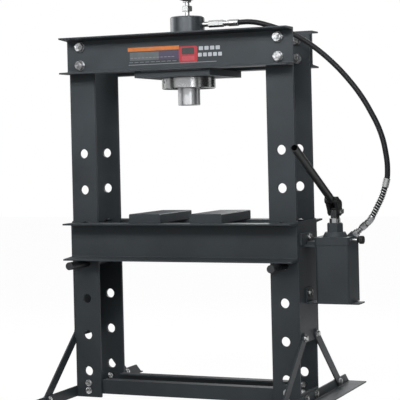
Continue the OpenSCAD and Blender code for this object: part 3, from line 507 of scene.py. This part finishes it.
# Finishes: maker, colour or the name of its setting, roughness, and what else it sets.
FINISHES = {
    "Gunmetal coat": (coat, "paint", 0.46, dict(specular=0.18)),
    "Cylinder coat": (coat, "cylinder", 0.30, dict(metallic=0.55, wear=0.2)),
    "Black enamel": (coat, "casting", 0.40, dict(wear=0.3, peel=0.3, specular=0.25)),
    "Weld": (coat, "paint", 0.40, dict(wear=0.5, dust=0.05, peel=0.2)),
    "Seal rubber": (coat, "rubber", 0.55, dict(wear=0.0, dust=0.05)),
    "Black plastic": (coat, (0.014, 0.014, 0.015), 0.42,
                      dict(wear=0.1, specular=0.25, edge_wear_and_highlight_colour=(0.05, 0.05, 0.05))),
    "Pin steel": (metal, (0.062, 0.065, 0.068), 0.44, dict(stain=0.8)),
    "Hard chrome": (metal, "chrome", 0.32, dict(lines=0.02, scale=900.0, stain=0.12)),
    "Ground steel": (metal, (0.34, 0.345, 0.35), 0.22, dict(lines=0.02, stain=0.12)),
    "Zinc plate": (metal, "zinc", 0.30, dict(lines=0.10, stain=0.6)),
    # The hex edges take the whole edge mask: worn zinc and a painted highlight.
    "Bolt zinc": (metal, (0.45, 0.46, 0.47), 0.34,
                  dict(stain=0.9, wear=1.0, dull=0.35, mottle=2.5, dents=1.0)),
    "Dull zinc": (metal, (0.62, 0.625, 0.63), 0.30,
                  dict(stain=0.9, dull=0.40, mottle=2.5, dents=1.0)),
    "Guard wire": (metal, (0.50, 0.51, 0.51), 0.34, dict(stain=0.7)),
    "Crimp steel": (metal, (0.27, 0.275, 0.28), 0.30,
                    dict(stain=0.7, dull=0.5, mottle=1.0)),
    "Bronze": (metal, (0.50, 0.33, 0.16), 0.35, {}),
    "Hose rubber": (hose_rubber, "rubber", 0.36, {}),
    "Lens glass": (glass, (0.97, 0.99, 1.0), 0.02, {}),
    "Dial white": (ink, (0.80, 0.80, 0.78), 0.5, {}),
    "Dial black": (ink, (0.015, 0.015, 0.015), 0.5, {}),
    "Dial red": (ink, (0.55, 0.02, 0.02), 0.5, {}),
    "Label orange": (ink, "stripe", 0.35, {}),
    "Label red": (ink, "badge", 0.35, {}),
    "Label pale red": (ink, (0.42, 0.06, 0.075), 0.35, {}),
    "Label grey": (ink, (0.085, 0.098, 0.105), 0.35, {}),
    "Label violet": (ink, (0.045, 0.035, 0.075), 0.35, {}),
    "Label white": (ink, (0.42, 0.45, 0.48), 0.35, {}),
    "Label line": (ink, (0.21, 0.22, 0.24), 0.35, {}),
    "Label dark": (ink, (0.018, 0.02, 0.022), 0.35, {}),
}
MATERIALS = {}


def finish(key):
    """The material of that name, made when it is first asked for."""
    if key not in MATERIALS:
        maker, colour, roughness, values = FINISHES[key]
        if isinstance(colour, str):
            colour = getattr(bpy.context.scene.press_colours, colour)
        MATERIALS[key], tree, shader = blank_material(key)
        maker(tree, shader, colour, roughness, **values)
    return MATERIALS[key]


def dress(key, *nodes):
    """Gives CAD nodes their finish."""
    for node in nodes:
        slots = NODES[node].data.materials
        slots.clear()
        slots.append(finish(key))


PAINTED = ["left_front_bar", "left_rear_bar", "right_front_bar", "right_rear_bar",
           "left_tie_plate", "right_tie_plate", "base_cleats", "front_beam", "rear_beam",
           "cylinder_plate", "bed_front_channel", "bed_rear_channel", "bed_spacers",
           "left_arbor_plate", "right_arbor_plate", "pump_bracket", "tank_bracket",
           "fulcrum_link", "left_foot", "right_foot", "crossbars", "left_braces",
           "right_braces"]
ZINCED = ["ring_set_screw", "cap_spring_plug", "ram_spring_plug"]

# Round pieces that take a smooth skin: node, finish and the sharpest smooth angle in degrees.
ROUNDS = [
    ("cylinder", "Cylinder coat", 30), ("ring_nut", "Ground steel", 30),
    ("ram", "Hard chrome", 30), ("gland_bush", "Bronze", 30), ("wiper_ring", "Seal rubber", 30),
    ("piston_seal", "Seal rubber", 30), ("return_spring", "Zinc plate", 60),
    ("gauge_adapter", "Zinc plate", 25), ("hose_adapter", "Zinc plate", 25),
    ("pump_barrel", "Zinc plate", 30), ("gland_nut", "Gunmetal coat", 25),
    ("piston_pin", "Dull zinc", 25), ("lever_pins", "Dull zinc", 25),
    ("pump_lever", "Black enamel", 30), ("handle_pipe", "Black enamel", 40),
    ("pump_head", "Gunmetal coat", 30), ("oil_tank", "Gunmetal coat", 30),
    ("release_valve", "Zinc plate", 30), ("release_knob", "Black plastic", 30),
    ("left_bed_pin", "Pin steel", 30), ("right_bed_pin", "Pin steel", 30),
    ("beam_bolts", "Bolt zinc", 28), ("beam_washers", "Bolt zinc", 28),
    ("beam_nuts", "Bolt zinc", 28), ("tie_bolts", "Dull zinc", 28), ("tie_nuts", "Dull zinc", 28),
]


# ---- Hose ----

# The route of the hose's centre line in millimetres, as the part's source has it.
HOSE_ROUTE = [
    (210, 0, 1422), (250, 0, 1422), (290, 0, 1416), (330, 0, 1404), (370, 0, 1390),
    (410, 0, 1374), (448, 0, 1354), (484, 0, 1331), (518, 0, 1306), (550, 0, 1279),
    (580, 0, 1251), (608, 0, 1222), (634, 0, 1192), (658, 0, 1162), (680, 0, 1131),
    (700, 0, 1099), (718, 0, 1066), (735, 0, 1033), (749, 0, 999), (760, 0, 963), (767, 0, 927),
    (772, 0, 890), (773, 0, 860), (771, 0, 830), (762, 0, 797), (750, 0, 762), (732, 0, 726),
    (714, 0, 693), (702, 0, 675), (689, 0, 664),
]

# The route's points where the wound guard and the sleeve begin.
GUARD_FROM, SLEEVE_FROM = 24, 27

# Steps of the smooth curve between two points of the route, and the slack in measuring it.
HOSE_STEPS, GUARD_STEPS, SLACK = 6, 12, 1e-9

# The guard's wire: its steps to a turn, its sides, and how deep it bites into the cover.
WIRE_STEPS, WIRE_SIDES, WIRE_BITE = 16, 6, 0.0004

# The sleeve: its gap over the hose, its wall and the depth of its grooves; then where the
# grooves are, half their width and the tapers at the ends, as shares of its length.
SLEEVE_GAP, SLEEVE_WALL, GROOVE_DEPTH = 0.0006, 0.0016, 0.0009
GROOVES, GROOVE_HALF, TAPERS = (0.35, 0.65), 0.05, (0.12, 0.06)

# The upper end lies left of this x; the guard's ring starts this far up the guard.
UPPER_END_X, RING_SHARE = 0.3, 0.75


def smooth_route(points, steps):
    """A Catmull-Rom curve through route points, with this many steps between them."""
    ends = [2 * points[0] - points[1]] + points + [2 * points[-1] - points[-2]]
    route = []
    for i in range(1, len(ends) - 2):
        a, b, c, d = ends[i - 1:i + 3]
        for k in range(steps):
            t = k / steps
            route.append(0.5 * (2 * b + (c - a) * t + (2 * a - 5 * b + 4 * c - d) * t * t
                                + (3 * b - a - 3 * c + d) * t ** 3))
    return route + [points[-1]]


def along(route):
    """The distance along a route at each of its points."""
    total, out = 0.0, [0.0]
    for a, b in zip(route, route[1:]):
        total += (b - a).length
        out.append(total)
    return out


def route_frames(route):
    """Side and up directions across a route at each of its points."""
    frames = []
    for i in range(len(route)):
        ahead = (route[min(i + 1, len(route) - 1)] - route[max(i - 1, 0)]).normalized()
        side = ahead.cross(Vector((0, 1, 0))).normalized()
        frames.append((side, side.cross(ahead).normalized()))
    return frames


def ring(centre, side, up, radius, sides):
    """Points round a centre, in the plane of two directions."""
    turns = [2 * math.pi * k / sides for k in range(sides)]
    return [centre + radius * (math.cos(a) * side - math.sin(a) * up) for a in turns]


def closed_tube(name, rings, uvs=None):
    """A tube through rings of points, with a cap at each end."""
    sides = len(rings[0])
    faces = []
    for i in range(len(rings) - 1):
        for k in range(sides):
            n = (k + 1) % sides
            faces.append((i * sides + k, i * sides + n, (i + 1) * sides + n, (i + 1) * sides + k))
    last = (len(rings) - 1) * sides
    faces.append(tuple(reversed(range(sides))))
    faces.append(tuple(range(last, last + sides)))
    return mesh_object(name, [point for points in rings for point in points], faces, uvs)


def tube(name, route, radii, sides):
    """A closed tube along a route, with its length running up its UV map."""
    rings = [ring(point, side, up, radius, sides)
             for point, (side, up), radius in zip(route, route_frames(route), radii)]
    far = along(route)
    uvs = []
    for near, next_one in zip(far, far[1:]):
        for k in range(sides):
            left, right = k / sides, (k + 1) / sides
            uvs += [(left, near), (right, near), (right, next_one), (left, next_one)]
    uvs += [(0.5, 0.0)] * sides + [(0.5, far[-1])] * sides
    piece = closed_tube(name, rings, uvs)
    face_out(piece)
    return piece


def wire_along(name, points, radius, sides):
    """A thin round wire through points that turn steadily, with closed ends."""
    rings = []
    side = None
    for i, point in enumerate(points):
        ahead = (points[min(i + 1, len(points) - 1)] - points[max(i - 1, 0)]).normalized()
        side = side or ahead.orthogonal()
        side = (side - ahead * side.dot(ahead)).normalized()
        rings.append(ring(point, side, side.cross(ahead), radius, sides))
    return closed_tube(name, rings)


class PRESS_OT_camera(bpy.types.Operator):
    """Adds the camera in front of the press, to its right"""

    bl_idname = "press.camera"
    bl_label = "Camera"

    def execute(self, context):
        s = context.scene.press_camera
        camera = added(bpy.ops.object.camera_add, location=s.place)
        camera.name = "Camera"
        back = Vector((math.sin(s.azimuth), -math.cos(s.azimuth), 0))
        right = Vector((math.cos(s.azimuth), math.sin(s.azimuth), 0))
        up = Vector((0, 0, 1))
        across = right * math.cos(s.roll) + up * math.sin(s.roll)
        above = up * math.cos(s.roll) - right * math.sin(s.roll)
        turn = Matrix((across, above, back)).transposed().to_4x4()
        camera.matrix_world = Matrix.Translation(s.place) @ turn
        camera.data.sensor_width = 36
        camera.data.lens = s.lens
        camera.data.shift_y = s.shift
        camera.data.clip_end = 60
        context.scene.camera = camera
        return {"FINISHED"}


class PRESS_OT_hose(bpy.types.Operator):
    """Adds the pressure hose, and the wound guard over its last bend"""

    bl_idname = "press.hose"
    bl_label = "Hose"

    def execute(self, context):
        s = context.scene.press_hose
        points = [Vector(p) / 1000 for p in HOSE_ROUTE]
        route = smooth_route(points, HOSE_STEPS)
        hose = tube("hose_cover", route, [s.diameter / 2] * len(route), s.sides)
        finish_piece(hose, "hose_cover", "frame", "Hose rubber", 40)
        guard = self.guard(smooth_route(points[GUARD_FROM:SLEEVE_FROM + 1], GUARD_STEPS), s)
        sleeve = self.sleeve(smooth_route(points[SLEEVE_FROM:], GUARD_STEPS), s)
        foot, top = low("hose_guard").z, high("hose_guard").z
        split = foot + RING_SHARE * (top - foot)
        ends = [skin("hose_ends", "Zinc plate", 30, "hose_end_upper",
                     lambda p: p.x < UPPER_END_X),
                skin("hose_ends", "Zinc plate", 30, "guard_ring",
                     lambda p: p.x > UPPER_END_X and p.z > split),
                skin("hose_ends", "Crimp steel", 30, "hose_end_lower",
                     lambda p: p.x > UPPER_END_X and p.z < split)]
        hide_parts("hose")
        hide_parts("hose_guard")
        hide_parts("hose_guard")
        along(route)[-1]
        return {"FINISHED"}

    def sleeve(self, route, s):
        """The swaged sleeve between the guard and the pump, with two rolled grooves."""
        far = along(route)
        radii = []
        for d in far:
            t = d / far[-1]
            groove = sum(max(0.0, 1 - abs(t - at) / GROOVE_HALF) for at in GROOVES)
            taper = min(1.0, t / TAPERS[0], (1 - t) / TAPERS[1])
            radii.append(s.diameter / 2 + SLEEVE_GAP + SLEEVE_WALL * max(0.0, taper)
                         - GROOVE_DEPTH * groove)
        piece = tube("guard_sleeve", route, radii, s.sides)
        return finish_piece(piece, "guard_sleeve", "frame", "Crimp steel", 50)

    def guard(self, route, s):
        """Winds the guard's wire round its stretch of the hose."""
        frames, far = route_frames(route), along(route)
        radius = s.diameter / 2 - WIRE_BITE + s.wire / 2
        wire, i = [], 0
        for k in range(int(far[-1] / s.pitch * WIRE_STEPS) + 1):
            want = min(k * s.pitch / WIRE_STEPS, far[-1])
            while far[i + 1] < want - SLACK:
                i += 1
            t = (want - far[i]) / (far[i + 1] - far[i])
            centre = route[i].lerp(route[i + 1], t)
            side, up = (near.lerp(next_one, t).normalized()
                        for near, next_one in zip(frames[i], frames[i + 1]))
            a = 2 * math.pi * k / WIRE_STEPS
            wire.append(centre + radius * (math.cos(a) * side + math.sin(a) * up))
        piece = wire_along("hose_guard_wire", wire, s.wire / 2, WIRE_SIDES)
        return finish_piece(piece, "hose_guard_wire", "frame", "Guard wire", 60)


class PRESS_OT_paint(bpy.types.Operator):
    """Gives the steelwork and the gauge's needle their coats"""

    bl_idname = "press.paint"
    bl_label = "Painted Steel"

    def execute(self, context):
        dress("Gunmetal coat", *PAINTED)
        dress("Black plastic", "gauge_needle")
        return {"FINISHED"}


# The piston's black eye, a painted shade for the shadow that the lever's cheeks cast on it,
# starts this far under its pin.
EYE_DROP = 0.0235

# The lever's web: its middle from the piston's pin, its size, how far its top leans forward,
# and the radius of its edges.
WEB_MIDDLE, WEB_SIZE = Vector((0, 0.0185, 0.0195)), (0.0246, 0.005, 0.026)
WEB_LEAN, WEB_FILLET = 0.004, 0.0016


class PRESS_OT_metal(bpy.types.Operator):
    """Gives the round pieces their smooth skins, and the small plugs their zinc"""

    bl_idname = "press.metal"
    bl_label = "Bright Metal"

    def execute(self, context):
        dress("Zinc plate", *ZINCED)
        for node, key, angle in ROUNDS:
            skin(node, key, angle)
        # Black enamel above this height is painted shade: the shadow between the lever's cheeks.
        eye_foot = middle("piston_pin").z - EYE_DROP
        self.two_finishes("pump_piston", "Ground steel", "Black enamel", eye_foot)
        case_foot = high("gauge_case").z - (high("gauge_case").x - low("gauge_case").x)
        self.two_finishes("gauge_case", "Zinc plate", "Black enamel", case_foot)
        self.lever_web()
        return {"FINISHED"}

    def two_finishes(self, node, below, above, height):
        """A smooth skin of a node with one finish below a height and another above it."""
        piece = skin(node, below, 30)
        piece.data.materials.append(finish(above))
        for face in piece.data.polygons:
            if face.center.z > height:
                face.material_index = 1

    def lever_web(self):
        """The web that ties the lever's two cheeks together over the piston's eye."""
        centre = middle("piston_pin") + WEB_MIDDLE
        web = block(WEB_SIZE, centre)
        edit_all(web)
        shape = bmesh.from_edit_mesh(web.data)
        for vertex in shape.verts:
            if vertex.co.z > centre.z:
                vertex.co.y -= WEB_LEAN
        bmesh.update_edit_mesh(web.data)
        deselect()
        bevel = web.modifiers.new("Fillet", "BEVEL")
        bevel.width = WEB_FILLET
        bevel.segments = 3
        apply_all(web)
        finish_piece(web, "lever_web", "lever", "Black enamel", 40)


# ---- Label ----

# Thickness of the beam's web, which the label is stuck on.
BEAM_WEB = 0.008

# Prints: name, how many in a row, left, right, bottom, top, layer, corner radius and finish.
PRINTS = [
    ("label_stripe", 1, -0.201, 0.012, 1.324, 1.339, 1, 0.0, "Label orange"),
    ("label_block", 1, -0.193, -0.072, 1.289, 1.3205, 1, 0.0, "Label grey"),
    ("label_shade", 1, -0.072, 0.010, 1.289, 1.3205, 1, 0.0, "Label violet"),
    ("label_badge", 1, 0.011, 0.086, 1.274, 1.334, 1, 0.008, "Label red"),
    ("label_window", 1, 0.023, 0.074, 1.303, 1.329, 2, 0.005, "Label dark"),
    ("label_pane", 1, 0.023, 0.074, 1.280, 1.297, 2, 0.004, "Label pale red"),
    ("label_bars_upper", 4, 0.093, 0.183, 1.317, 1.331, 1, 0.002, "Label white"),
    ("label_bars_lower", 5, 0.089, 0.190, 1.293, 1.307, 1, 0.002, "Label white"),
    ("label_dashes_upper", 12, -0.190, -0.004, 1.2975, 1.2995, 2, 0.0004, "Label line"),
    ("label_dashes_lower", 9, -0.196, 0.006, 1.2815, 1.2832, 1, 0.00034, "Label line"),
    ("label_rule", 1, -0.199, 0.163, 1.2718, 1.2742, 1, 0.0, "Label line"),
]
# The share of its pitch that a bar in a row fills.
BAR_SHARE = 0.74


def film(name, x0, x1, z0, z1, front, thickness, corner, key):
    """A thin printed patch on the beam's web, with round corners."""
    patch = added(bpy.ops.mesh.primitive_plane_add, size=1,
                  location=((x0 + x1) / 2, front, (z0 + z1) / 2), rotation=(math.pi / 2, 0, 0))
    patch.scale = (x1 - x0, z1 - z0, 1)
    settle(patch)
    edit_all(patch)
    if corner > 0:
        bpy.ops.mesh.bevel(offset=corner, segments=5, affect="VERTICES")
    bpy.ops.mesh.select_all(action="SELECT")
    bpy.ops.mesh.extrude_region_move(TRANSFORM_OT_translate={"value": (0, thickness, 0)})
    face_out(patch)
    return finish_piece(patch, name, "frame", key)


class PRESS_OT_label(bpy.types.Operator):
    """Adds the printed label on the front beam: stripe, blocks, badge and bars"""

    bl_idname = "press.label"
    bl_label = "Label"

    def execute(self, context):
        thickness = context.scene.press_label.film
        web = high("front_beam").y - BEAM_WEB
        for name, count, x0, x1, z0, z1, layer, corner, key in PRINTS:
            front = web - layer * thickness
            if count == 1:
                film(name, x0, x1, z0, z1, front, thickness, corner, key)
                continue
            pitch = (x1 - x0) / count
            starts = [x0 + i * pitch for i in range(count)]
            row = joined([film(f"{name}_{i}", x, x + BAR_SHARE * pitch, z0, z1, front,
                               thickness, corner, key) for i, x in enumerate(starts)])
            row.name = name
        return {"FINISHED"}


# ---- Gauge ----

# The scale, in degrees clockwise from the top of the dial, and its marks.
SCALE_START, SCALE_SWEEP = 225, 270
MARKS, MAJOR_EVERY = 50, 10

# Length and width of the marks, their distance from the dial's edge, and the ink's thickness.
MAJOR_MARK, MINOR_MARK = (0.008, 0.0012), (0.0045, 0.0006)
MARK_INSET, INK = 0.003, 0.0003

# Height of the numbers, and how far inside the dial's edge their middles are.
NUMBER_SIZE, NUMBER_INSET = 0.0115, 0.0185

# The red arc: its two distances from the dial's edge, the share of the scale where it
# starts, and its steps.
ARC_INSETS, ARC_START, ARC_STEPS = (0.0135, 0.0115), 0.8, 20


def scale_angle(share):
    """The angle on the dial at a share of the scale."""
    return math.radians(SCALE_START + SCALE_SWEEP * share)


def on_dial(centre, angle, radius, depth=0.0):
    """A point on the dial, at an angle clockwise from the top."""
    return centre + Vector((math.sin(angle) * radius, depth, math.cos(angle) * radius))


class PRESS_OT_gauge(bpy.types.Operator):
    """Prints the gauge's dial and glazes it"""

    bl_idname = "press.gauge"
    bl_label = "Pressure Gauge"

    def execute(self, context):
        dress("Dial white", "gauge_dial")
        dress("Lens glass", "gauge_lens")
        centre = middle("gauge_dial")
        centre.y = low("gauge_dial").y
        radius = (high("gauge_dial").x - low("gauge_dial").x) / 2
        marks = [self.mark(centre, radius, i) for i in range(MARKS + 1)]
        finish_piece(joined(marks), "dial_ticks", "frame", "Dial black")
        numbers = [self.number(centre, radius, i) for i in range(0, MARKS + 1, MAJOR_EVERY)]
        finish_piece(joined(numbers), "dial_numbers", "frame", "Dial black")
        self.red_arc(centre, radius)
        return {"FINISHED"}

    def mark(self, centre, radius, i):
        """One mark of the scale, as a thin printed bar."""
        long, wide = MINOR_MARK if i % MAJOR_EVERY else MAJOR_MARK
        angle = scale_angle(i / MARKS)
        place = on_dial(centre, angle, radius - MARK_INSET - long / 2, -INK / 2)
        return block((wide, INK, long), place, (0, angle, 0))

    def number(self, centre, radius, i):
        """One number of the scale."""
        place = on_dial(centre, scale_angle(i / MARKS), radius - NUMBER_INSET)
        text = added(bpy.ops.object.text_add, rotation=(math.pi / 2, 0, 0), location=place)
        text.data.body = str(i)
        text.data.size = NUMBER_SIZE
        text.data.align_x = text.data.align_y = "CENTER"
        text.data.extrude = INK / 2
        bpy.ops.object.convert(target="MESH")
        return bpy.context.active_object

    def red_arc(self, centre, radius):
        """The arc that marks the top of the scale."""
        verts = []
        for i in range(ARC_STEPS + 1):
            angle = scale_angle(ARC_START + (1 - ARC_START) * i / ARC_STEPS)
            for inset in ARC_INSETS:
                verts += [on_dial(centre, angle, radius - inset, y) for y in (-INK, 0.0)]
        faces, last = [], 4 * ARC_STEPS
        for p in range(0, last, 4):
            n = p + 4
            faces += [(p, n, n + 2, p + 2), (p + 1, p + 3, n + 3, n + 1),
                      (p, p + 1, n + 1, n), (p + 2, n + 2, n + 3, p + 3)]
        faces += [(0, 2, 3, 1), (last, last + 1, last + 3, last + 2)]
        arc = mesh_object("dial_arc", verts, faces)
        face_out(arc)
        finish_piece(arc, "dial_arc", "frame", "Dial red")


# ---- Welds ----

# Radius of the beads on the frame and on the bed, and their pitch as a share of it.
FRAME_BEAD, BED_BEAD, BEAD_PITCH = 0.003, 0.0035, 0.9

# A bead's middle lies this far off the edge that it follows.
EDGE_GAP = 0.001

# The tie plates' short beads: how far out of the post, and where they start and end, as
# shares of the plate's half depth.
TIE_PROUD, TIE_START, TIE_END = 0.0012, 0.975, 0.9

# The bed's beads: in from the spacer's outer face, and short of its top and bottom.
SPACER_IN, SPACER_SHORT = 0.008, 0.01

# The cylinder plate's beads: short of its ends, and proud of its sides.
PLATE_SHORT, PLATE_PROUD = 0.03, 0.0005


def weld(name, start, end, size, body):
    """A bead of overlapping scales from one point to another."""
    way = Vector(end) - Vector(start)
    bead = added(bpy.ops.mesh.primitive_uv_sphere_add, segments=8, ring_count=5, radius=size,
                 location=start)
    step = size * BEAD_PITCH
    array = bead.modifiers.new("Run", "ARRAY")
    array.use_relative_offset = False
    array.use_constant_offset = True
    array.constant_offset_displace = way.normalized() * step
    array.count = max(2, int(way.length / step))
    apply_all(bead)
    finish_piece(bead, name, body, "Weld", 60)


class PRESS_OT_welds(bpy.types.Operator):
    """Adds the weld beads that hold plates and channels together"""

    bl_idname = "press.welds"
    bl_label = "Welds"

    def execute(self, context):
        for side, name in ((-1, "left"), (1, "right")):
            self.tie_welds(side, name)
            self.bed_welds(side, name)
        plate_low, plate_high = low("cylinder_plate"), high("cylinder_plate")
        for y in (-1, 1):
            edge, z = y * (plate_high.y + PLATE_PROUD), plate_high.z - EDGE_GAP
            weld("plate_weld", (plate_low.x + PLATE_SHORT, edge, z),
                 (plate_high.x - PLATE_SHORT, edge, z), FRAME_BEAD, "frame")
        return {"FINISHED"}

    def tie_welds(self, side, name):
        """Four short beads over and under a tie plate's ends."""
        outer = low if side < 0 else high
        x = outer(f"{name}_front_bar").x + side * TIE_PROUD
        tie_low, tie_high = low(f"{name}_tie_plate"), high(f"{name}_tie_plate")
        for y in (tie_low.y, tie_high.y):
            inner = y * TIE_START
            for z in (tie_high.z + EDGE_GAP, tie_low.z - EDGE_GAP):
                weld(f"{name}_tie_weld", (x, inner, z), (x, inner * TIE_END, z), FRAME_BEAD,
                     "frame")

    def bed_welds(self, side, name):
        """Two upright beads where a spacer meets the bed's channels."""
        spacer_low, spacer_high = low("bed_spacers"), high("bed_spacers")
        x = middle("bed_spacers").x + side * (spacer_high.x - SPACER_IN) - side * EDGE_GAP
        for y in (-1, 1):
            edge = y * (spacer_high.y - EDGE_GAP)
            weld(f"{name}_bed_weld", (x, edge, spacer_low.z + SPACER_SHORT),
                 (x, edge, spacer_high.z - SPACER_SHORT), BED_BEAD, "bed")


# ---- Stage ----

# Rays that see the floor and the room white.
WHITE_RAYS = ("Is Camera Ray", "Is Glossy Ray", "Is Transmission Ray")

# The floor: its width, its tone, how bright it glows and how much of that shows.
FLOOR_WIDTH, FLOOR_TONE, FLOOR_GLOW, GLOW_SHARE = 24, 0.45, 1.11, 0.86

# Lamps: name, place, the point it looks at, width and height, the setting of its power and
# its share of that, and its spread in degrees.
LAMPS = [
    ("Key", (0.15, -3.1, 2.7), (0.12, 0, 1.95), (3.6, 1.0), "key", 1.0, 72),
    ("Fill", (3.2, -2.8, 2.2), (0.1, 0, 1.0), (1.6, 2.0), "fill", 1.0, 120),
    ("Strip", (1.9, -2.5, 2.0), (0, 0, 1.3), (0.14, 2.0), "strip", 1.0, 180),
    ("Back", (0.3, 3.4, 2.4), (0, 0, 1.0), (3.0, 1.2), "back", 1.0, 120),
    ("Side", (-3.4, 0.6, 2.2), (0, 0, 0.9), (2.0, 1.2), "back", 0.6, 120),
]

# Dark cards that only reflections see: name, middle, width and height in metres, and tone.
FLAGS = [
    ("flag_left", (-1.9, -1.5, 1.2), (0.9, 2.6), 0.10),
    ("flag_right", (2.3, -1.5, 1.2), (0.7, 2.6), 0.14),
    ("flag_side", (2.3, 0.1, 1.2), (1.6, 2.6), 0.08),
    ("flag_back", (-1.4, 2.4, 1.2), (1.0, 2.6), 0.03),
    ("flag_rear", (1.5, 2.3, 1.2), (1.7, 2.6), 0.02),
]


def soft_light(name, place, aim, size, power, spread):
    """A large soft lamp that looks at a point."""
    lamp = added(bpy.ops.object.light_add, type="AREA", location=place)
    lamp.name = name
    lamp.rotation_euler = (Vector(aim) - Vector(place)).to_track_quat("-Z", "Y").to_euler()
    lamp.data.shape = "RECTANGLE"
    lamp.data.size, lamp.data.size_y = size
    lamp.data.energy = power
    lamp.data.spread = math.radians(spread)


def sees_white(tree):
    """1 for a ray that sees the floor and the room white, and 0 for any other."""
    rays = put(tree, "ShaderNodeLightPath").outputs
    return combined(tree, "MAXIMUM", *[rays[kind] for kind in WHITE_RAYS])


class PRESS_OT_stage(bpy.types.Operator):
    """Adds the pale floor, the white room and the soft lamps"""

    bl_idname = "press.stage"
    bl_label = "Stage"

    def execute(self, context):
        s = context.scene.press_stage
        self.floor()
        self.room(context, s.sky)
        for name, place, aim, size, setting, share, spread in LAMPS:
            soft_light(name, place, aim, size, getattr(s, setting) * share, spread)
        for row in FLAGS:
            self.flag(*row)
        context.scene.view_settings.view_transform = "Standard"
        return {"FINISHED"}

    def floor(self):
        """A wide floor that shows white and keeps the shadow."""
        floor = added(bpy.ops.mesh.primitive_plane_add, size=FLOOR_WIDTH, location=(0, 0, 0))
        floor.name = "floor"
        material, tree, shader = blank_material("Pale floor")
        preset(shader, {"Base Color": (FLOOR_TONE, FLOOR_TONE, FLOOR_TONE, 1),
                        "Roughness": 0.9, "Specular IOR Level": 0.1})
        glow = put(tree, "ShaderNodeEmission", {"Strength": FLOOR_GLOW})
        mix = put(tree, "ShaderNodeMixShader")
        part = combined(tree, "MULTIPLY", sees_white(tree), GLOW_SHARE)
        tree.links.new(part, mix.inputs["Fac"])
        tree.links.new(shader.outputs["BSDF"], mix.inputs[1])
        tree.links.new(glow.outputs["Emission"], mix.inputs[2])
        tree.links.new(mix.outputs["Shader"], tree.nodes["Material Output"].inputs["Surface"])
        floor.data.materials.append(material)

    def flag(self, name, place, size, tone):
        """A dark card that gives bright metal its dark bands."""
        card = added(bpy.ops.mesh.primitive_plane_add, size=1, location=place)
        card.name = name
        card.scale = (size[0], size[1], 1)
        inward = Vector((-place[0], -place[1], 0))
        card.rotation_euler = inward.to_track_quat("Z", "Y").to_euler()
        material, _, shader = blank_material("Flag cloth")
        preset(shader, {"Base Color": (tone, tone, tone, 1), "Specular IOR Level": 0.0})
        card.data.materials.append(material)
        for ray in ("camera", "diffuse", "shadow", "transmission"):
            setattr(card, f"visible_{ray}", False)

    def room(self, context, sky):
        """A room that looks white and lights the press softly."""
        world = bpy.data.worlds.new("Room")
        context.scene.world = world
        world.use_nodes = True
        tree = world.node_tree
        ground = preset(tree.nodes["Background"], {"Color": (1, 1, 1, 1)})
        strength = ranged(tree, sees_white(tree), sky, 1.0, start=0.0, stop=1.0)
        tree.links.new(strength, ground.inputs["Strength"])


# ---- Panel and registration ----

OPERATORS = [PRESS_OT_camera, PRESS_OT_hose, PRESS_OT_paint, PRESS_OT_metal, PRESS_OT_label,
             PRESS_OT_gauge, PRESS_OT_welds, PRESS_OT_stage]


class PRESS_PT_panel(bpy.types.Panel):
    """The press's pieces and their settings"""

    bl_idname = "PRESS_PT_panel"
    bl_label = "Workshop Press"
    bl_space_type = "VIEW_3D"
    bl_region_type = "UI"
    bl_category = "Press"

    def draw(self, context):
        for operator in OPERATORS:
            self.layout.operator(operator.bl_idname)
        for key, group in SETTINGS.items():
            box = self.layout.box()
            settings = getattr(context.scene, key)
            for name in group.__annotations__:
                box.prop(settings, name)


def register():
    """Registers the settings, the operators and the panel."""
    for key, group in SETTINGS.items():
        bpy.utils.register_class(group)
        setattr(bpy.types.Scene, key, PointerProperty(type=group))
    for item in [*OPERATORS, PRESS_PT_panel]:
        bpy.utils.register_class(item)


def unregister():
    """Takes everything out again."""
    for item in [PRESS_PT_panel, *reversed(OPERATORS)]:
        bpy.utils.unregister_class(item)
    for key, group in SETTINGS.items():
        delattr(bpy.types.Scene, key)
        bpy.utils.unregister_class(group)


def main():
    """Builds the press in order."""
    register()
    bpy.ops.press.camera()
    bpy.ops.press.hose()
    bpy.ops.press.paint()
    bpy.ops.press.metal()
    bpy.ops.press.label()
    bpy.ops.press.gauge()
    bpy.ops.press.welds()
    bpy.ops.press.stage()


if __name__ == "__main__":
    main()
